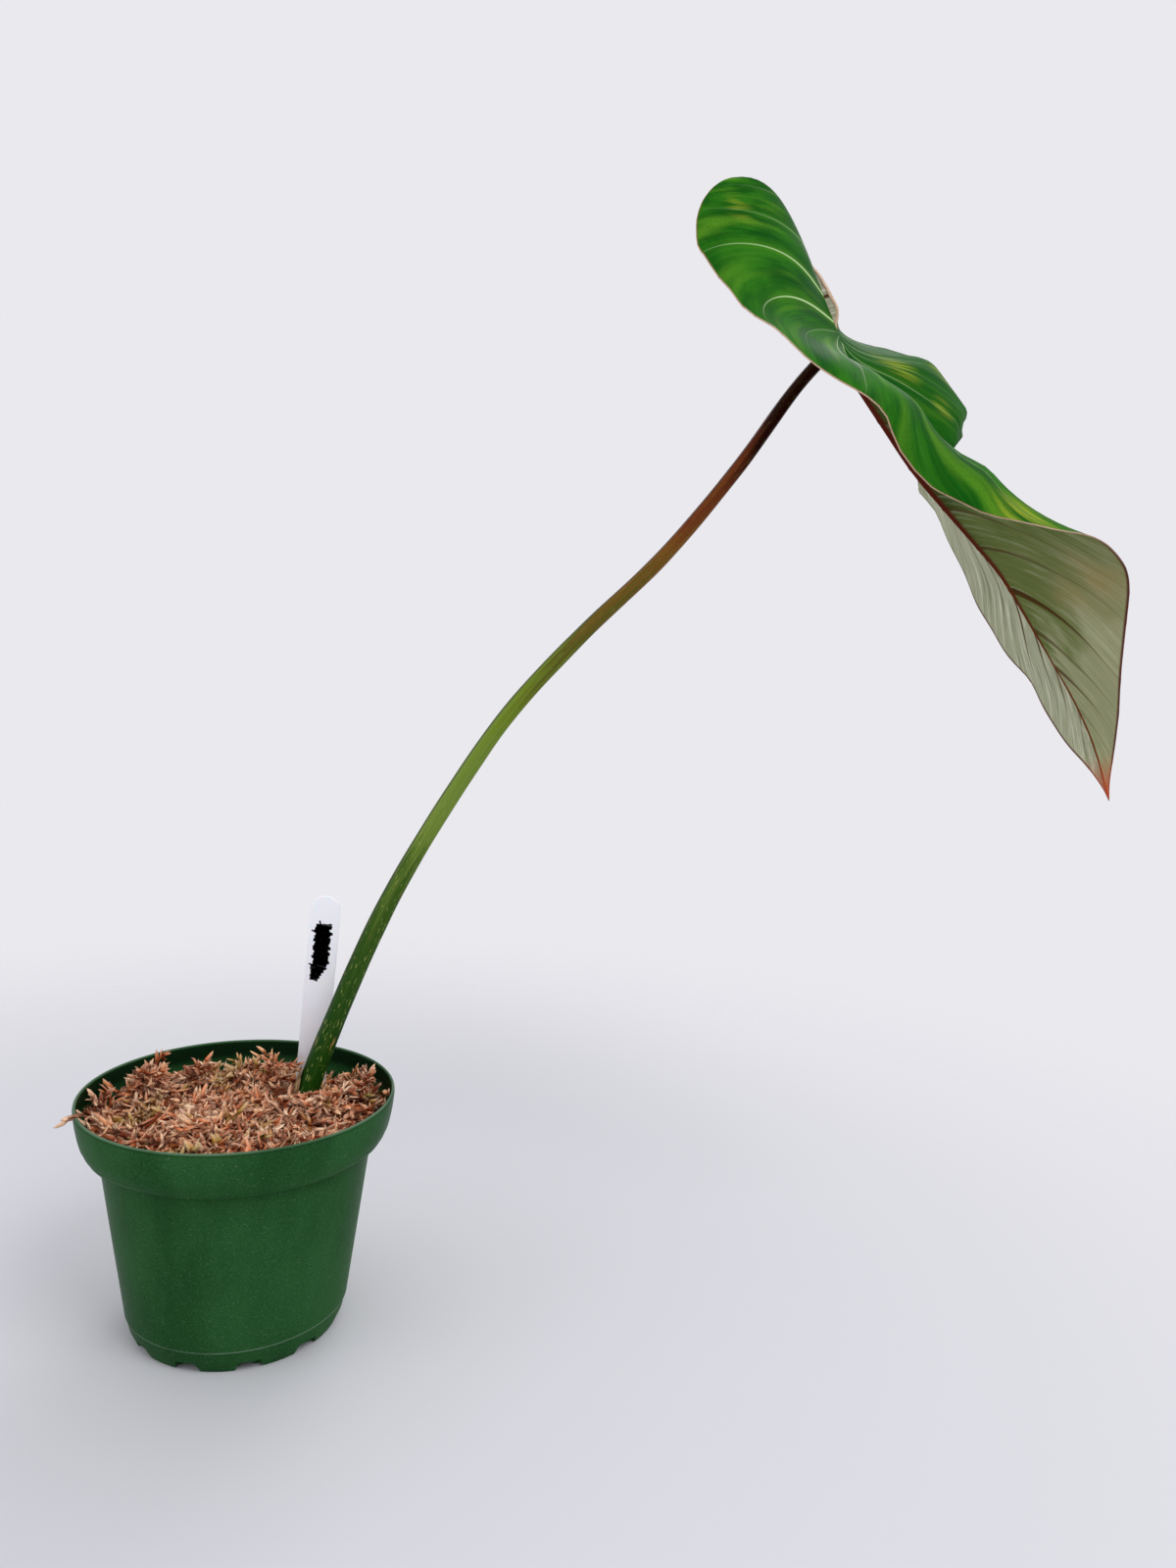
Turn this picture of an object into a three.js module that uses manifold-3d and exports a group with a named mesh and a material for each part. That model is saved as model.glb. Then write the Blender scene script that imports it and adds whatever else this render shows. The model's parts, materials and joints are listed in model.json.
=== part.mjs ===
// Potted Philodendron gloriosum: one heart-shaped leaf on a long leaning stalk, growing from a creeping
// stem in a nursery pot full of sphagnum moss, with a plant label behind the stalk.
// Millimetres, +Z up. The origin is on the pot's axis, on the surface that the pot stands on.
// +X is the way the leaf leans, and -Y is the side from which the label is seen behind the stalk.

import * as THREE from 'three';
import * as BufferGeometryUtils from 'three/addons/utils/BufferGeometryUtils.js';
import Module from 'manifold-3d';

const wasm = await Module();
wasm.setup();

// Clearance between pieces that touch on the real plant
const GAP = 0.35;

// Pot: a 6 inch azalea pot, moulded in one piece
const POT_RIM_RADIUS = 76.2;
const POT_HEIGHT = 117.4;
const POT_WALL = 1.3;
const POT_BAND_BOTTOM = 94.4;
const POT_BAND_EDGE_RADIUS = 70.5;
const POT_BODY_TOP_RADIUS = 65.3;
const POT_STEP_HEIGHT = 11.2;
const POT_STEP_RADIUS = 53.8;
const POT_FOOT_RADIUS = 49.8;
const POT_FOOT_WIDTH = 3.4;
const POT_FLOOR_UNDERSIDE = 5.0;
const POT_FLOOR_THICKNESS = 1.6;
const POT_CENTRE_FOOT_RADIUS = 8;
const POT_SECTORS = 48;
const FOOT_COUNT = 11;
const FIRST_FOOT_DEG = 275;
const NOTCH_HEIGHT = 4.8;
const NOTCH_TOP_WIDTH = 10;
const NOTCH_BOTTOM_WIDTH = 13.5;
const DRAIN_SLOT_WIDTH = 7;
const DRAIN_SLOT_INNER_RADIUS = 37;
const DRAIN_SLOT_OUTER_RADIUS = 46;

// Moss: its mean surface, the heaps on it and its loose strands
const MOSS_SEED = 21;
const MOSS_MEAN_HEIGHT = 104;
const MOSS_FRONT_RISE = 0.05;
const MOSS_LOWEST_EDGE = 99;
const MOSS_ROUGHNESS = 1.1;
const MOSS_RING_SHARES = [0.15, 0.3, 0.45, 0.6, 0.73, 0.85, 0.94];
const MOSS_HEAPS = [
  { x: -55, y: 23, rise: 17, spread: 11 },
  { x: -30, y: 40, rise: 10, spread: 10 },
  { x: -8, y: 42, rise: 10, spread: 9 },
  { x: 8, y: 28, rise: 9, spread: 8 },
  { x: 54, y: 30, rise: 18, spread: 7 },
  { x: 42, y: 4, rise: 8, spread: 8 },
  { x: -64, y: -4, rise: 9, spread: 6 },
  { x: -10, y: -45, rise: 5, spread: 24 },
];
const STRAND_COUNT = 44;
const STRAND_RADIUS = 1.1;
const STRAND_SIDES = 3;
const STRAND_STEPS = 4;
const STRAND_SUNK = 3;
const TUFTS = [
  { x: -64, y: -6, height: 12, lean: 5, count: 4 },
  { x: -56, y: 23, height: 8, lean: 7, count: 7 },
  { x: -30, y: 40, height: 8, lean: 6, count: 4 },
  { x: -8, y: 42, height: 9, lean: 5, count: 4 },
  { x: 8, y: 28, height: 11, lean: 9, count: 5 },
  { x: 54, y: 30, height: 10, lean: 6, count: 6 },
  { x: 42, y: 4, height: 8, lean: 7, count: 5 },
];
// The one strand that lies across the rim
const RIM_STRAND = [
  [-48, -36, 104],
  [-54, -41, 116],
  [-59, -45.5, 120],
  [-63, -49.5, 119],
];

// Creeping stem with its roots, lying under the moss
const RHIZOME_PATH = [
  [-34, 16, 84],
  [-12, 21, 88],
  [10, 25, 90],
  [27, 27, 93],
];
const RHIZOME_RADIUS = 10;
const ROOT_FOOT_RADIUS = 2.28;
const ROOT_TIP_RADIUS = 1.33;
const ROOT_STEPS = 7;
const ROOT_SIDES = 6;
const ROOTS = [
  [[-26, 17, 80], [-34, 8, 62], [-30, -4, 40]],
  [[-8, 21, 82], [-14, 32, 64], [-8, 38, 42]],
  [[6, 22, 84], [10, 8, 66], [24, -2, 44]],
  [[20, 27, 86], [34, 24, 70], [38, 30, 46]],
];

// Leaf stalk, from its foot in the moss to the hub of the leaf
const PETIOLE_PATH = [
  [24.5, 26, 98],
  [37, 29, 135.5],
  [68, 35, 210.5],
  [110, 40, 284],
  [129.5, 42.5, 312],
  [162, 46, 349],
  [201.5, 49, 389.5],
  [238, 53, 436],
  [267.5, 57.6, 479.5],
  [285.6, 59.8, 500.7],
];
const PETIOLE_FOOT_RADIUS = 5.9;
const PETIOLE_MIDDLE_RADIUS = 4.5;
const PETIOLE_MIDDLE_SHARE = 0.35;
const PETIOLE_TOP_RADIUS = 3.1;
const PETIOLE_STEPS = 30;
const PETIOLE_SIDES = 12;

// Dry sheath left at the foot of the stalk
const SHEATH_HEIGHT = 18;
const SHEATH_THICKNESS = 0.9;
const SHEATH_ARC_DEG = 80;

// Plant label, pushed into the moss behind the stalk
const LABEL_WIDTH = 15.9;
const LABEL_LENGTH = 127;
const LABEL_THICKNESS = 0.9;
const LABEL_POINT_LENGTH = 16;
const LABEL_TOP = [32.2, 45, 207];
const LABEL_LEAN_DEG = 4.2;

// Leaf blade: a flat heart, measured from the hub where the stalk joins it
const LEAF_HUB = [288.2, 60.4, 503.1];
const LEAF_LENGTH = 285;
const LEAF_HALF_WIDTH = 120;
const LEAF_LOBE_LENGTH = 80;
const LEAF_LOBE_SPREAD = 65;
const LEAF_SINUS_DEPTH = 4;
const LEAF_THICKNESS = 0.8;
const MIDRIB_DEPTH = 3.4;
const MIDRIB_WIDTH = 3.2;
const LEAF_ROWS = 42;
const LEAF_COLUMN_SHARES = [0, 0.022, 0.06, 0.15, 0.31, 0.53, 0.77, 1];
// Shares of the rows up to the sinus on the inner edge, and up to the widest point on the outer one
const SINUS_ROW_SHARE = 0.3;
const WIDEST_ROW_SHARE = 0.42;
// How the heart is bent. At each distance from the hub, the midrib's pitch and yaw, the roll of the blade
// about it, and for each half the angle at which it leaves the midrib and how far it droops to its edge.
const LEAF_STATIONS = [
  { at: -95, pitch: -60, yaw: 0, roll: -25, nearFold: 10, nearDroop: 70, farFold: -40, farDroop: -35 },
  { at: -45, pitch: -65, yaw: 0, roll: -25, nearFold: 10, nearDroop: 50, farFold: -35, farDroop: -20 },
  { at: 0, pitch: -65, yaw: 0, roll: -15, nearFold: -10, nearDroop: 5, farFold: 10, farDroop: -5 },
  { at: 30, pitch: -55, yaw: -5, roll: 0, nearFold: 5, nearDroop: 45, farFold: 50, farDroop: 35 },
  { at: 60, pitch: -55, yaw: -5, roll: 10, nearFold: 10, nearDroop: 70, farFold: 70, farDroop: 55 },
  { at: 78, pitch: -50, yaw: 0, roll: 10, nearFold: 15, nearDroop: 95, farFold: 75, farDroop: 75 },
  { at: 95, pitch: -45, yaw: 5, roll: 10, nearFold: 25, nearDroop: 120, farFold: 40, farDroop: 35 },
  { at: 130, pitch: -45, yaw: 5, roll: 20, nearFold: 20, nearDroop: 110, farFold: 35, farDroop: 5 },
  { at: 165, pitch: -55, yaw: 5, roll: 30, nearFold: 20, nearDroop: 70, farFold: 45, farDroop: 40 },
  { at: 210, pitch: -55, yaw: 5, roll: 45, nearFold: -5, nearDroop: 0, farFold: 40, farDroop: 0 },
  { at: 268, pitch: -70, yaw: 5, roll: 45, nearFold: 10, nearDroop: 0, farFold: -20, farDroop: -5 },
];
const SPINE_STEP = 1;

const vector = ([x, y, z]) => new THREE.Vector3(x, y, z);

// Returns numbers from 0 to 1 that are the same on every run
function seededRandom(seed) {
  let state = seed;
  return () => {
    state = (state + 0x6d2b79f5) | 0;
    let mixed = Math.imul(state ^ (state >>> 15), 1 | state);
    mixed = (mixed + Math.imul(mixed ^ (mixed >>> 7), 61 | mixed)) ^ mixed;
    return ((mixed ^ (mixed >>> 14)) >>> 0) / 4294967296;
  };
}

// Drops normals and texture coordinates, merges shared vertices and turns the faces outwards
function closedSolid(geometry) {
  geometry.deleteAttribute('normal');
  geometry.deleteAttribute('uv');
  const merged = BufferGeometryUtils.mergeVertices(geometry, 1e-4);
  const corners = merged.index.array;
  const position = merged.attributes.position;
  const kept = [];
  const [a, b, c] = [new THREE.Vector3(), new THREE.Vector3(), new THREE.Vector3()];
  let volume = 0;
  for (let i = 0; i < corners.length; i += 3) {
    const [ia, ib, ic] = [corners[i], corners[i + 1], corners[i + 2]];
    if (ia === ib || ib === ic || ic === ia) continue;
    kept.push(ia, ib, ic);
    a.fromBufferAttribute(position, ia);
    b.fromBufferAttribute(position, ib);
    c.fromBufferAttribute(position, ic);
    volume += a.dot(b.cross(c));
  }
  if (volume < 0) kept.reverse();
  merged.setIndex(kept);
  return merged;
}

function solidFrom(points, triangles) {
  const geometry = new THREE.BufferGeometry();
  const numbers = points.flatMap((point) => [point.x, point.y, point.z]);
  geometry.setAttribute('position', new THREE.Float32BufferAttribute(numbers, 3));
  geometry.setIndex(triangles);
  return closedSolid(geometry);
}

function toManifold(geometry) {
  return new wasm.Manifold(new wasm.Mesh({
    numProp: 3,
    vertProperties: new Float32Array(geometry.attributes.position.array),
    triVerts: new Uint32Array(geometry.index.array),
  }));
}

function toGeometry(manifold) {
  const mesh = manifold.getMesh();
  const geometry = new THREE.BufferGeometry();
  geometry.setAttribute('position', new THREE.Float32BufferAttribute(mesh.vertProperties, 3));
  geometry.setIndex(Array.from(mesh.triVerts));
  return geometry;
}

// The largest of the bodies that a cut leaves, without the scraps
function largestBody(manifold) {
  const bodies = manifold.decompose();
  return bodies.reduce((best, body) => (body.volume() > best.volume() ? body : best));
}

// A body turned round the Z axis, from a closed outline of [radius, height] points
function turned(outline, sectors) {
  const closed = [...outline, outline[0]].map(([radius, height]) => new THREE.Vector2(radius, height));
  const geometry = new THREE.LatheGeometry(closed, sectors);
  geometry.rotateX(Math.PI / 2);
  return closedSolid(geometry);
}

// A tube along a curve whose radius follows radiusAt(share of the length), with pointed or flat ends
function taperedTube(curve, radiusAt, steps, sides) {
  const frames = curve.computeFrenetFrames(steps, false);
  const points = [];
  const triangles = [];
  for (let i = 0; i <= steps; i += 1) {
    const centre = curve.getPointAt(i / steps);
    const radius = radiusAt(i / steps);
    for (let k = 0; k < sides; k += 1) {
      const angle = (2 * Math.PI * k) / sides;
      const out = frames.normals[i].clone().multiplyScalar(Math.cos(angle) * radius);
      out.addScaledVector(frames.binormals[i], Math.sin(angle) * radius);
      points.push(centre.clone().add(out));
    }
  }
  for (let i = 0; i < steps; i += 1) {
    for (let k = 0; k < sides; k += 1) {
      const [a, b] = [i * sides + k, i * sides + ((k + 1) % sides)];
      triangles.push(a, b, b + sides, a, b + sides, a + sides);
    }
  }
  const last = steps * sides;
  for (let k = 1; k < sides - 1; k += 1) {
    triangles.push(0, k + 1, k, last, last + k, last + k + 1);
  }
  return solidFrom(points, triangles);
}

// Inner outline of the pot as [radius, height] points, from the rim down to the floor
const potFloorTop = POT_FLOOR_UNDERSIDE + POT_FLOOR_THICKNESS;
const potInnerOutline = [
  [POT_RIM_RADIUS - 1.6, POT_HEIGHT - 0.6],
  [POT_RIM_RADIUS - 0.3 - POT_WALL, POT_HEIGHT - 5.4],
  [POT_RIM_RADIUS - 1.4 - POT_WALL, POT_HEIGHT - 12.4],
  [POT_RIM_RADIUS - 3 - POT_WALL, POT_BAND_BOTTOM + 5.6],
  [POT_BAND_EDGE_RADIUS - 0.4, POT_BAND_BOTTOM + 2.6],
  [POT_BODY_TOP_RADIUS - POT_WALL, POT_BAND_BOTTOM + POT_WALL],
  [POT_STEP_RADIUS - POT_WALL, POT_STEP_HEIGHT],
  [POT_FOOT_RADIUS - POT_WALL, potFloorTop],
];

function potInnerRadius(height) {
  for (let i = 1; i < potInnerOutline.length; i += 1) {
    const [upper, lower] = [potInnerOutline[i - 1], potInnerOutline[i]];
    if (height >= lower[1]) {
      const share = Math.min((height - lower[1]) / (upper[1] - lower[1]), 1);
      return lower[0] + share * (upper[0] - lower[0]);
    }
  }
  return potInnerOutline[potInnerOutline.length - 1][0];
}

// A prism that stands along the local radius at an angle, from a closed outline across it
function radialCutter(outline, innerRadius, outerRadius, angle) {
  const shape = new THREE.Shape(outline.map(([across, up]) => new THREE.Vector2(across, up)));
  const prism = new THREE.ExtrudeGeometry(shape, { depth: outerRadius - innerRadius, bevelEnabled: false });
  const across = new THREE.Vector3(-Math.sin(angle), Math.cos(angle), 0);
  const up = new THREE.Vector3(0, 0, 1);
  const out = new THREE.Vector3(Math.cos(angle), Math.sin(angle), 0);
  prism.applyMatrix4(new THREE.Matrix4().makeBasis(across, up, out));
  prism.translate(out.x * innerRadius, out.y * innerRadius, 0);
  return toManifold(closedSolid(prism));
}

function makePot() {
  const shell = turned([
    [POT_FOOT_RADIUS, 0],
    [POT_STEP_RADIUS - 1.6, POT_STEP_HEIGHT / 2],
    [POT_STEP_RADIUS - 0.6, POT_STEP_HEIGHT - 0.5],
    [POT_STEP_RADIUS, POT_STEP_HEIGHT],
    [POT_BODY_TOP_RADIUS, POT_BAND_BOTTOM - 0.4],
    [POT_BAND_EDGE_RADIUS, POT_BAND_BOTTOM],
    [POT_RIM_RADIUS - 4.2, POT_BAND_BOTTOM + 2.4],
    [POT_RIM_RADIUS - 2.6, POT_BAND_BOTTOM + 5.6],
    [POT_RIM_RADIUS - 1.4, POT_HEIGHT - 12.4],
    [POT_RIM_RADIUS - 0.3, POT_HEIGHT - 5.4],
    [POT_RIM_RADIUS, POT_HEIGHT - 1.8],
    [POT_RIM_RADIUS - 0.3, POT_HEIGHT - 0.4],
    [POT_RIM_RADIUS - 0.8, POT_HEIGHT],
    ...potInnerOutline,
    [0, potFloorTop],
    [0, 0],
    [POT_CENTRE_FOOT_RADIUS, 0],
    [POT_CENTRE_FOOT_RADIUS + 0.6, POT_FLOOR_UNDERSIDE],
    [POT_FOOT_RADIUS - POT_FOOT_WIDTH, POT_FLOOR_UNDERSIDE],
    [POT_FOOT_RADIUS - POT_FOOT_WIDTH, 0],
  ], POT_SECTORS);
  let pot = toManifold(shell);
  const notch = [
    [-NOTCH_BOTTOM_WIDTH / 2, -1],
    [NOTCH_BOTTOM_WIDTH / 2, -1],
    [NOTCH_TOP_WIDTH / 2, NOTCH_HEIGHT],
    [-NOTCH_TOP_WIDTH / 2, NOTCH_HEIGHT],
  ];
  const slot = [
    [-DRAIN_SLOT_WIDTH / 2, POT_FLOOR_UNDERSIDE - 1],
    [DRAIN_SLOT_WIDTH / 2, POT_FLOOR_UNDERSIDE - 1],
    [DRAIN_SLOT_WIDTH / 2, potFloorTop + 1],
    [-DRAIN_SLOT_WIDTH / 2, potFloorTop + 1],
  ];
  for (let i = 0; i < FOOT_COUNT; i += 1) {
    const angle = THREE.MathUtils.degToRad(FIRST_FOOT_DEG + (360 * (i + 0.5)) / FOOT_COUNT);
    const inside = POT_FOOT_RADIUS - POT_FOOT_WIDTH - 3;
    pot = pot.subtract(radialCutter(notch, inside, POT_STEP_RADIUS + 1, angle));
    pot = pot.subtract(radialCutter(slot, DRAIN_SLOT_INNER_RADIUS, DRAIN_SLOT_OUTER_RADIUS, angle));
  }
  return toGeometry(pot);
}

// Height of the moss at a place, without its loose strands
function mossHeight(x, y) {
  const back = Math.max(y - 25, 0);
  const heaps = MOSS_HEAPS.reduce((sum, heap) => {
    const distance = Math.hypot(x - heap.x, y - heap.y) / heap.spread;
    return sum + heap.rise * Math.exp(-distance * distance);
  }, 0);
  const rough = Math.sin(x * 0.52 + y * 0.31 + 1) + Math.sin(y * 0.61 - x * 0.23) + Math.sin(x * 0.37 - y * 0.83 + 2);
  return MOSS_MEAN_HEIGHT - MOSS_FRONT_RISE * y - 0.1 * back + heaps + MOSS_ROUGHNESS * rough;
}

// Where the moss meets the pot wall at an angle, as [radius, height]
function mossEdge(angle) {
  let radius = potInnerRadius(MOSS_MEAN_HEIGHT) - GAP;
  let height = MOSS_MEAN_HEIGHT;
  for (let i = 0; i < 4; i += 1) {
    height = Math.max(mossHeight(radius * Math.cos(angle), radius * Math.sin(angle)), MOSS_LOWEST_EDGE);
    radius = potInnerRadius(height) - GAP;
  }
  return [radius, height];
}

// The bed itself: a lumpy top, and sides that follow the pot's wall down to its floor
function makeMossBed() {
  const points = [new THREE.Vector3(0, 0, mossHeight(0, 0))];
  const triangles = [];
  const lowerLevels = potInnerOutline.slice(4).map(([radius, height]) => [radius - GAP, height + GAP]);
  const ringCount = MOSS_RING_SHARES.length + 1 + lowerLevels.length;
  for (let ring = 0; ring < ringCount; ring += 1) {
    for (let k = 0; k < POT_SECTORS; k += 1) {
      const angle = (2 * Math.PI * k) / POT_SECTORS;
      const [edgeRadius, edgeHeight] = mossEdge(angle);
      let [radius, height] = [edgeRadius, edgeHeight];
      if (ring < MOSS_RING_SHARES.length) {
        radius = edgeRadius * MOSS_RING_SHARES[ring];
        height = mossHeight(radius * Math.cos(angle), radius * Math.sin(angle));
      } else if (ring > MOSS_RING_SHARES.length) {
        [radius, height] = lowerLevels[ring - MOSS_RING_SHARES.length - 1];
      }
      points.push(new THREE.Vector3(radius * Math.cos(angle), radius * Math.sin(angle), height));
    }
  }
  const bottom = points.length;
  points.push(new THREE.Vector3(0, 0, potFloorTop + GAP));
  for (let k = 0; k < POT_SECTORS; k += 1) {
    const next = (k + 1) % POT_SECTORS;
    triangles.push(0, 1 + k, 1 + next);
    for (let ring = 0; ring < ringCount - 1; ring += 1) {
      const [a, b] = [1 + ring * POT_SECTORS + k, 1 + ring * POT_SECTORS + next];
      triangles.push(a, a + POT_SECTORS, b + POT_SECTORS, a, b + POT_SECTORS, b);
    }
    const lastRing = 1 + (ringCount - 1) * POT_SECTORS;
    triangles.push(bottom, lastRing + next, lastRing + k);
  }
  return toManifold(solidFrom(points, triangles));
}

function makeStrand(path) {
  const curve = new THREE.CatmullRomCurve3(path);
  const radiusAt = (share) => STRAND_RADIUS * (1 - 0.35 * share * share);
  return toManifold(taperedTube(curve, radiusAt, STRAND_STEPS, STRAND_SIDES));
}

// Pulls a point in so that a strand through it stays clear of the pot's wall
function clearOfWall(point) {
  const limit = potInnerRadius(Math.min(point.z, POT_HEIGHT - 1)) - STRAND_RADIUS - 2 * GAP;
  const radius = Math.hypot(point.x, point.y);
  if (radius > limit) {
    point.x *= limit / radius;
    point.y *= limit / radius;
  }
  return point;
}

// Strands that lie on the bed in low arches, sunk at their foot
function lyingStrandPath(random) {
  const radius = 66 * Math.sqrt(random());
  const place = 2 * Math.PI * random();
  const heading = 2 * Math.PI * random();
  const length = 10 + 10 * random();
  const arch = 2.5 + 3 * random();
  const [x, y] = [radius * Math.cos(place), radius * Math.sin(place)];
  return [0, 0.35, 0.7, 1].map((share) => {
    const bend = 0.5 * share * share;
    const px = x + length * share * Math.cos(heading + bend);
    const py = y + length * share * Math.sin(heading + bend);
    const lift = share === 0 ? -STRAND_SUNK : arch * Math.sin(Math.PI * Math.min(share, 0.75));
    return clearOfWall(new THREE.Vector3(px, py, mossHeight(px, py) + lift));
  });
}

// Strands that stand up in a tuft and curl over at their end
function tuftStrandPath(tuft, random) {
  const heading = 2 * Math.PI * random();
  const foot = 3 * random();
  const height = tuft.height * (0.6 + 0.4 * random());
  const [x, y] = [tuft.x + foot * Math.cos(heading), tuft.y + foot * Math.sin(heading)];
  const ground = mossHeight(x, y);
  return [[0, -STRAND_SUNK], [0.15, 0.4], [0.55, 0.95], [1, 0.8]].map(([share, lift]) => {
    const reach = tuft.lean * share;
    const rise = lift < 0 ? lift : height * lift;
    return clearOfWall(new THREE.Vector3(
      x + reach * Math.cos(heading),
      y + reach * Math.sin(heading),
      ground + rise,
    ));
  });
}

function makeMoss(holes) {
  const random = seededRandom(MOSS_SEED);
  const strands = [makeStrand(RIM_STRAND.map(vector))];
  TUFTS.forEach((tuft) => {
    for (let i = 0; i < tuft.count; i += 1) strands.push(makeStrand(tuftStrandPath(tuft, random)));
  });
  for (let i = 0; i < STRAND_COUNT; i += 1) strands.push(makeStrand(lyingStrandPath(random)));
  const bed = strands.reduce((sum, strand) => sum.add(strand), makeMossBed());
  return toGeometry(largestBody(holes.reduce((left, hole) => left.subtract(hole), bed)));
}

// The creeping stem and its roots, made larger by clearance to cut the hole that they lie in
function makeRhizome(clearance) {
  const stem = new THREE.CatmullRomCurve3(RHIZOME_PATH.map(vector));
  const stemRadius = (share) => {
    const end = Math.min(share, 1 - share);
    const round = Math.sqrt(Math.min(end / 0.14, 1));
    const ring = 0.5 * Math.cos(share * 10 * Math.PI);
    return (RHIZOME_RADIUS + ring) * (0.45 + 0.55 * round) + clearance;
  };
  let rhizome = toManifold(taperedTube(stem, stemRadius, 20, 12));
  ROOTS.forEach((root) => {
    const curve = new THREE.CatmullRomCurve3(root.map(vector));
    const radiusAt = (share) => THREE.MathUtils.lerp(ROOT_FOOT_RADIUS, ROOT_TIP_RADIUS, share) + clearance;
    rhizome = rhizome.add(toManifold(taperedTube(curve, radiusAt, ROOT_STEPS, ROOT_SIDES)));
  });
  return rhizome;
}

function petioleRadius(share) {
  if (share < PETIOLE_MIDDLE_SHARE) {
    const below = share / PETIOLE_MIDDLE_SHARE;
    return THREE.MathUtils.lerp(PETIOLE_FOOT_RADIUS, PETIOLE_MIDDLE_RADIUS, below);
  }
  const above = (share - PETIOLE_MIDDLE_SHARE) / (1 - PETIOLE_MIDDLE_SHARE);
  return THREE.MathUtils.lerp(PETIOLE_MIDDLE_RADIUS, PETIOLE_TOP_RADIUS, above);
}

function makePetiole(clearance) {
  const curve = new THREE.CatmullRomCurve3(PETIOLE_PATH.map(vector));
  return toManifold(taperedTube(curve, (share) => petioleRadius(share) + clearance, PETIOLE_STEPS, PETIOLE_SIDES));
}

// A strip of dry sheath that still clasps the stalk's foot, pointed at its top
function makeSheath(clearance) {
  const [foot, above] = PETIOLE_PATH.map(vector);
  const along = above.clone().sub(foot).normalize();
  const start = foot.clone().addScaledVector(along, 5);
  const side = new THREE.Vector3(-1, -0.35, 0);
  side.addScaledVector(along, -side.dot(along)).normalize();
  const across = new THREE.Vector3().crossVectors(along, side);
  const inner = PETIOLE_FOOT_RADIUS + 2 * GAP - clearance;
  const outer = inner + SHEATH_THICKNESS + 2 * clearance;
  const [rows, columns] = [6, 6];
  const points = [];
  [inner, outer].forEach((radius) => {
    for (let i = 0; i <= rows; i += 1) {
      const share = i / rows;
      const halfArc = THREE.MathUtils.degToRad(SHEATH_ARC_DEG / 2) * (1 - 0.85 * share * share);
      const flare = radius + 0.8 * share * share;
      for (let k = 0; k <= columns; k += 1) {
        const angle = (halfArc + clearance / radius) * ((2 * k) / columns - 1);
        const point = start.clone().addScaledVector(along, SHEATH_HEIGHT * share + (2 * share - 1) * clearance);
        point.addScaledVector(side, flare * Math.cos(angle)).addScaledVector(across, flare * Math.sin(angle));
        points.push(point);
      }
    }
  });
  return toManifold(solidFrom(points, sheetPair(rows, columns)));
}

// Triangles of two like grids of points, the second after the first, joined round their edges
function sheetPair(rows, columns) {
  const triangles = [];
  const wide = columns + 1;
  const shift = (rows + 1) * wide;
  for (let i = 0; i < rows; i += 1) {
    for (let k = 0; k < columns; k += 1) {
      const a = i * wide + k;
      triangles.push(a, a + 1, a + wide + 1, a, a + wide + 1, a + wide);
      triangles.push(shift + a, shift + a + wide + 1, shift + a + 1);
      triangles.push(shift + a, shift + a + wide, shift + a + wide + 1);
    }
  }
  const rim = [];
  for (let k = 0; k < columns; k += 1) rim.push(k);
  for (let i = 0; i < rows; i += 1) rim.push(i * wide + columns);
  for (let k = columns; k > 0; k -= 1) rim.push(rows * wide + k);
  for (let i = rows; i > 0; i -= 1) rim.push(i * wide);
  rim.forEach((a, i) => {
    const b = rim[(i + 1) % rim.length];
    triangles.push(a, shift + a, shift + b, a, shift + b, b);
  });
  return triangles;
}

function makeLabel(clearance) {
  const half = LABEL_WIDTH / 2 + clearance;
  const shape = new THREE.Shape();
  shape.moveTo(0, -LABEL_LENGTH - clearance);
  shape.lineTo(half, -LABEL_LENGTH + LABEL_POINT_LENGTH);
  shape.lineTo(half, -half);
  shape.absarc(0, -half, half, 0, Math.PI, false);
  shape.lineTo(-half, -LABEL_LENGTH + LABEL_POINT_LENGTH);
  shape.closePath();
  const thickness = LABEL_THICKNESS + 2 * clearance;
  const label = new THREE.ExtrudeGeometry(shape, { depth: thickness, bevelEnabled: false, curveSegments: 12 });
  label.translate(0, clearance, -thickness / 2);
  label.rotateX(Math.PI / 2);
  label.rotateY(THREE.MathUtils.degToRad(LABEL_LEAN_DEG));
  label.translate(...LABEL_TOP);
  return toManifold(closedSolid(label));
}

// A smooth curve through one column of the leaf's stations, which never overshoots them
function stationCurve(key) {
  const places = LEAF_STATIONS.map((station) => station.at);
  const values = LEAF_STATIONS.map((station) => station[key]);
  const gaps = places.slice(1).map((place, i) => place - places[i]);
  const slopes = gaps.map((gap, i) => (values[i + 1] - values[i]) / gap);
  const tangents = values.map((value, i) => {
    if (i === 0 || i === values.length - 1) return slopes[Math.min(i, slopes.length - 1)];
    const [before, after] = [slopes[i - 1], slopes[i]];
    return before * after <= 0 ? 0 : (2 * before * after) / (before + after);
  });
  return (place) => {
    const held = THREE.MathUtils.clamp(place, places[0], places[places.length - 1]);
    let i = 0;
    while (i < gaps.length - 1 && held > places[i + 1]) i += 1;
    const t = (held - places[i]) / gaps[i];
    const [t2, t3] = [t * t, t * t * t];
    return (2 * t3 - 3 * t2 + 1) * values[i] + (t3 - 2 * t2 + t) * gaps[i] * tangents[i]
      + (3 * t2 - 2 * t3) * values[i + 1] + (t3 - t2) * gaps[i] * tangents[i + 1];
  };
}

const leafCurves = Object.fromEntries(
  Object.keys(LEAF_STATIONS[0]).filter((key) => key !== 'at').map((key) => [key, stationCurve(key)]),
);

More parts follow.
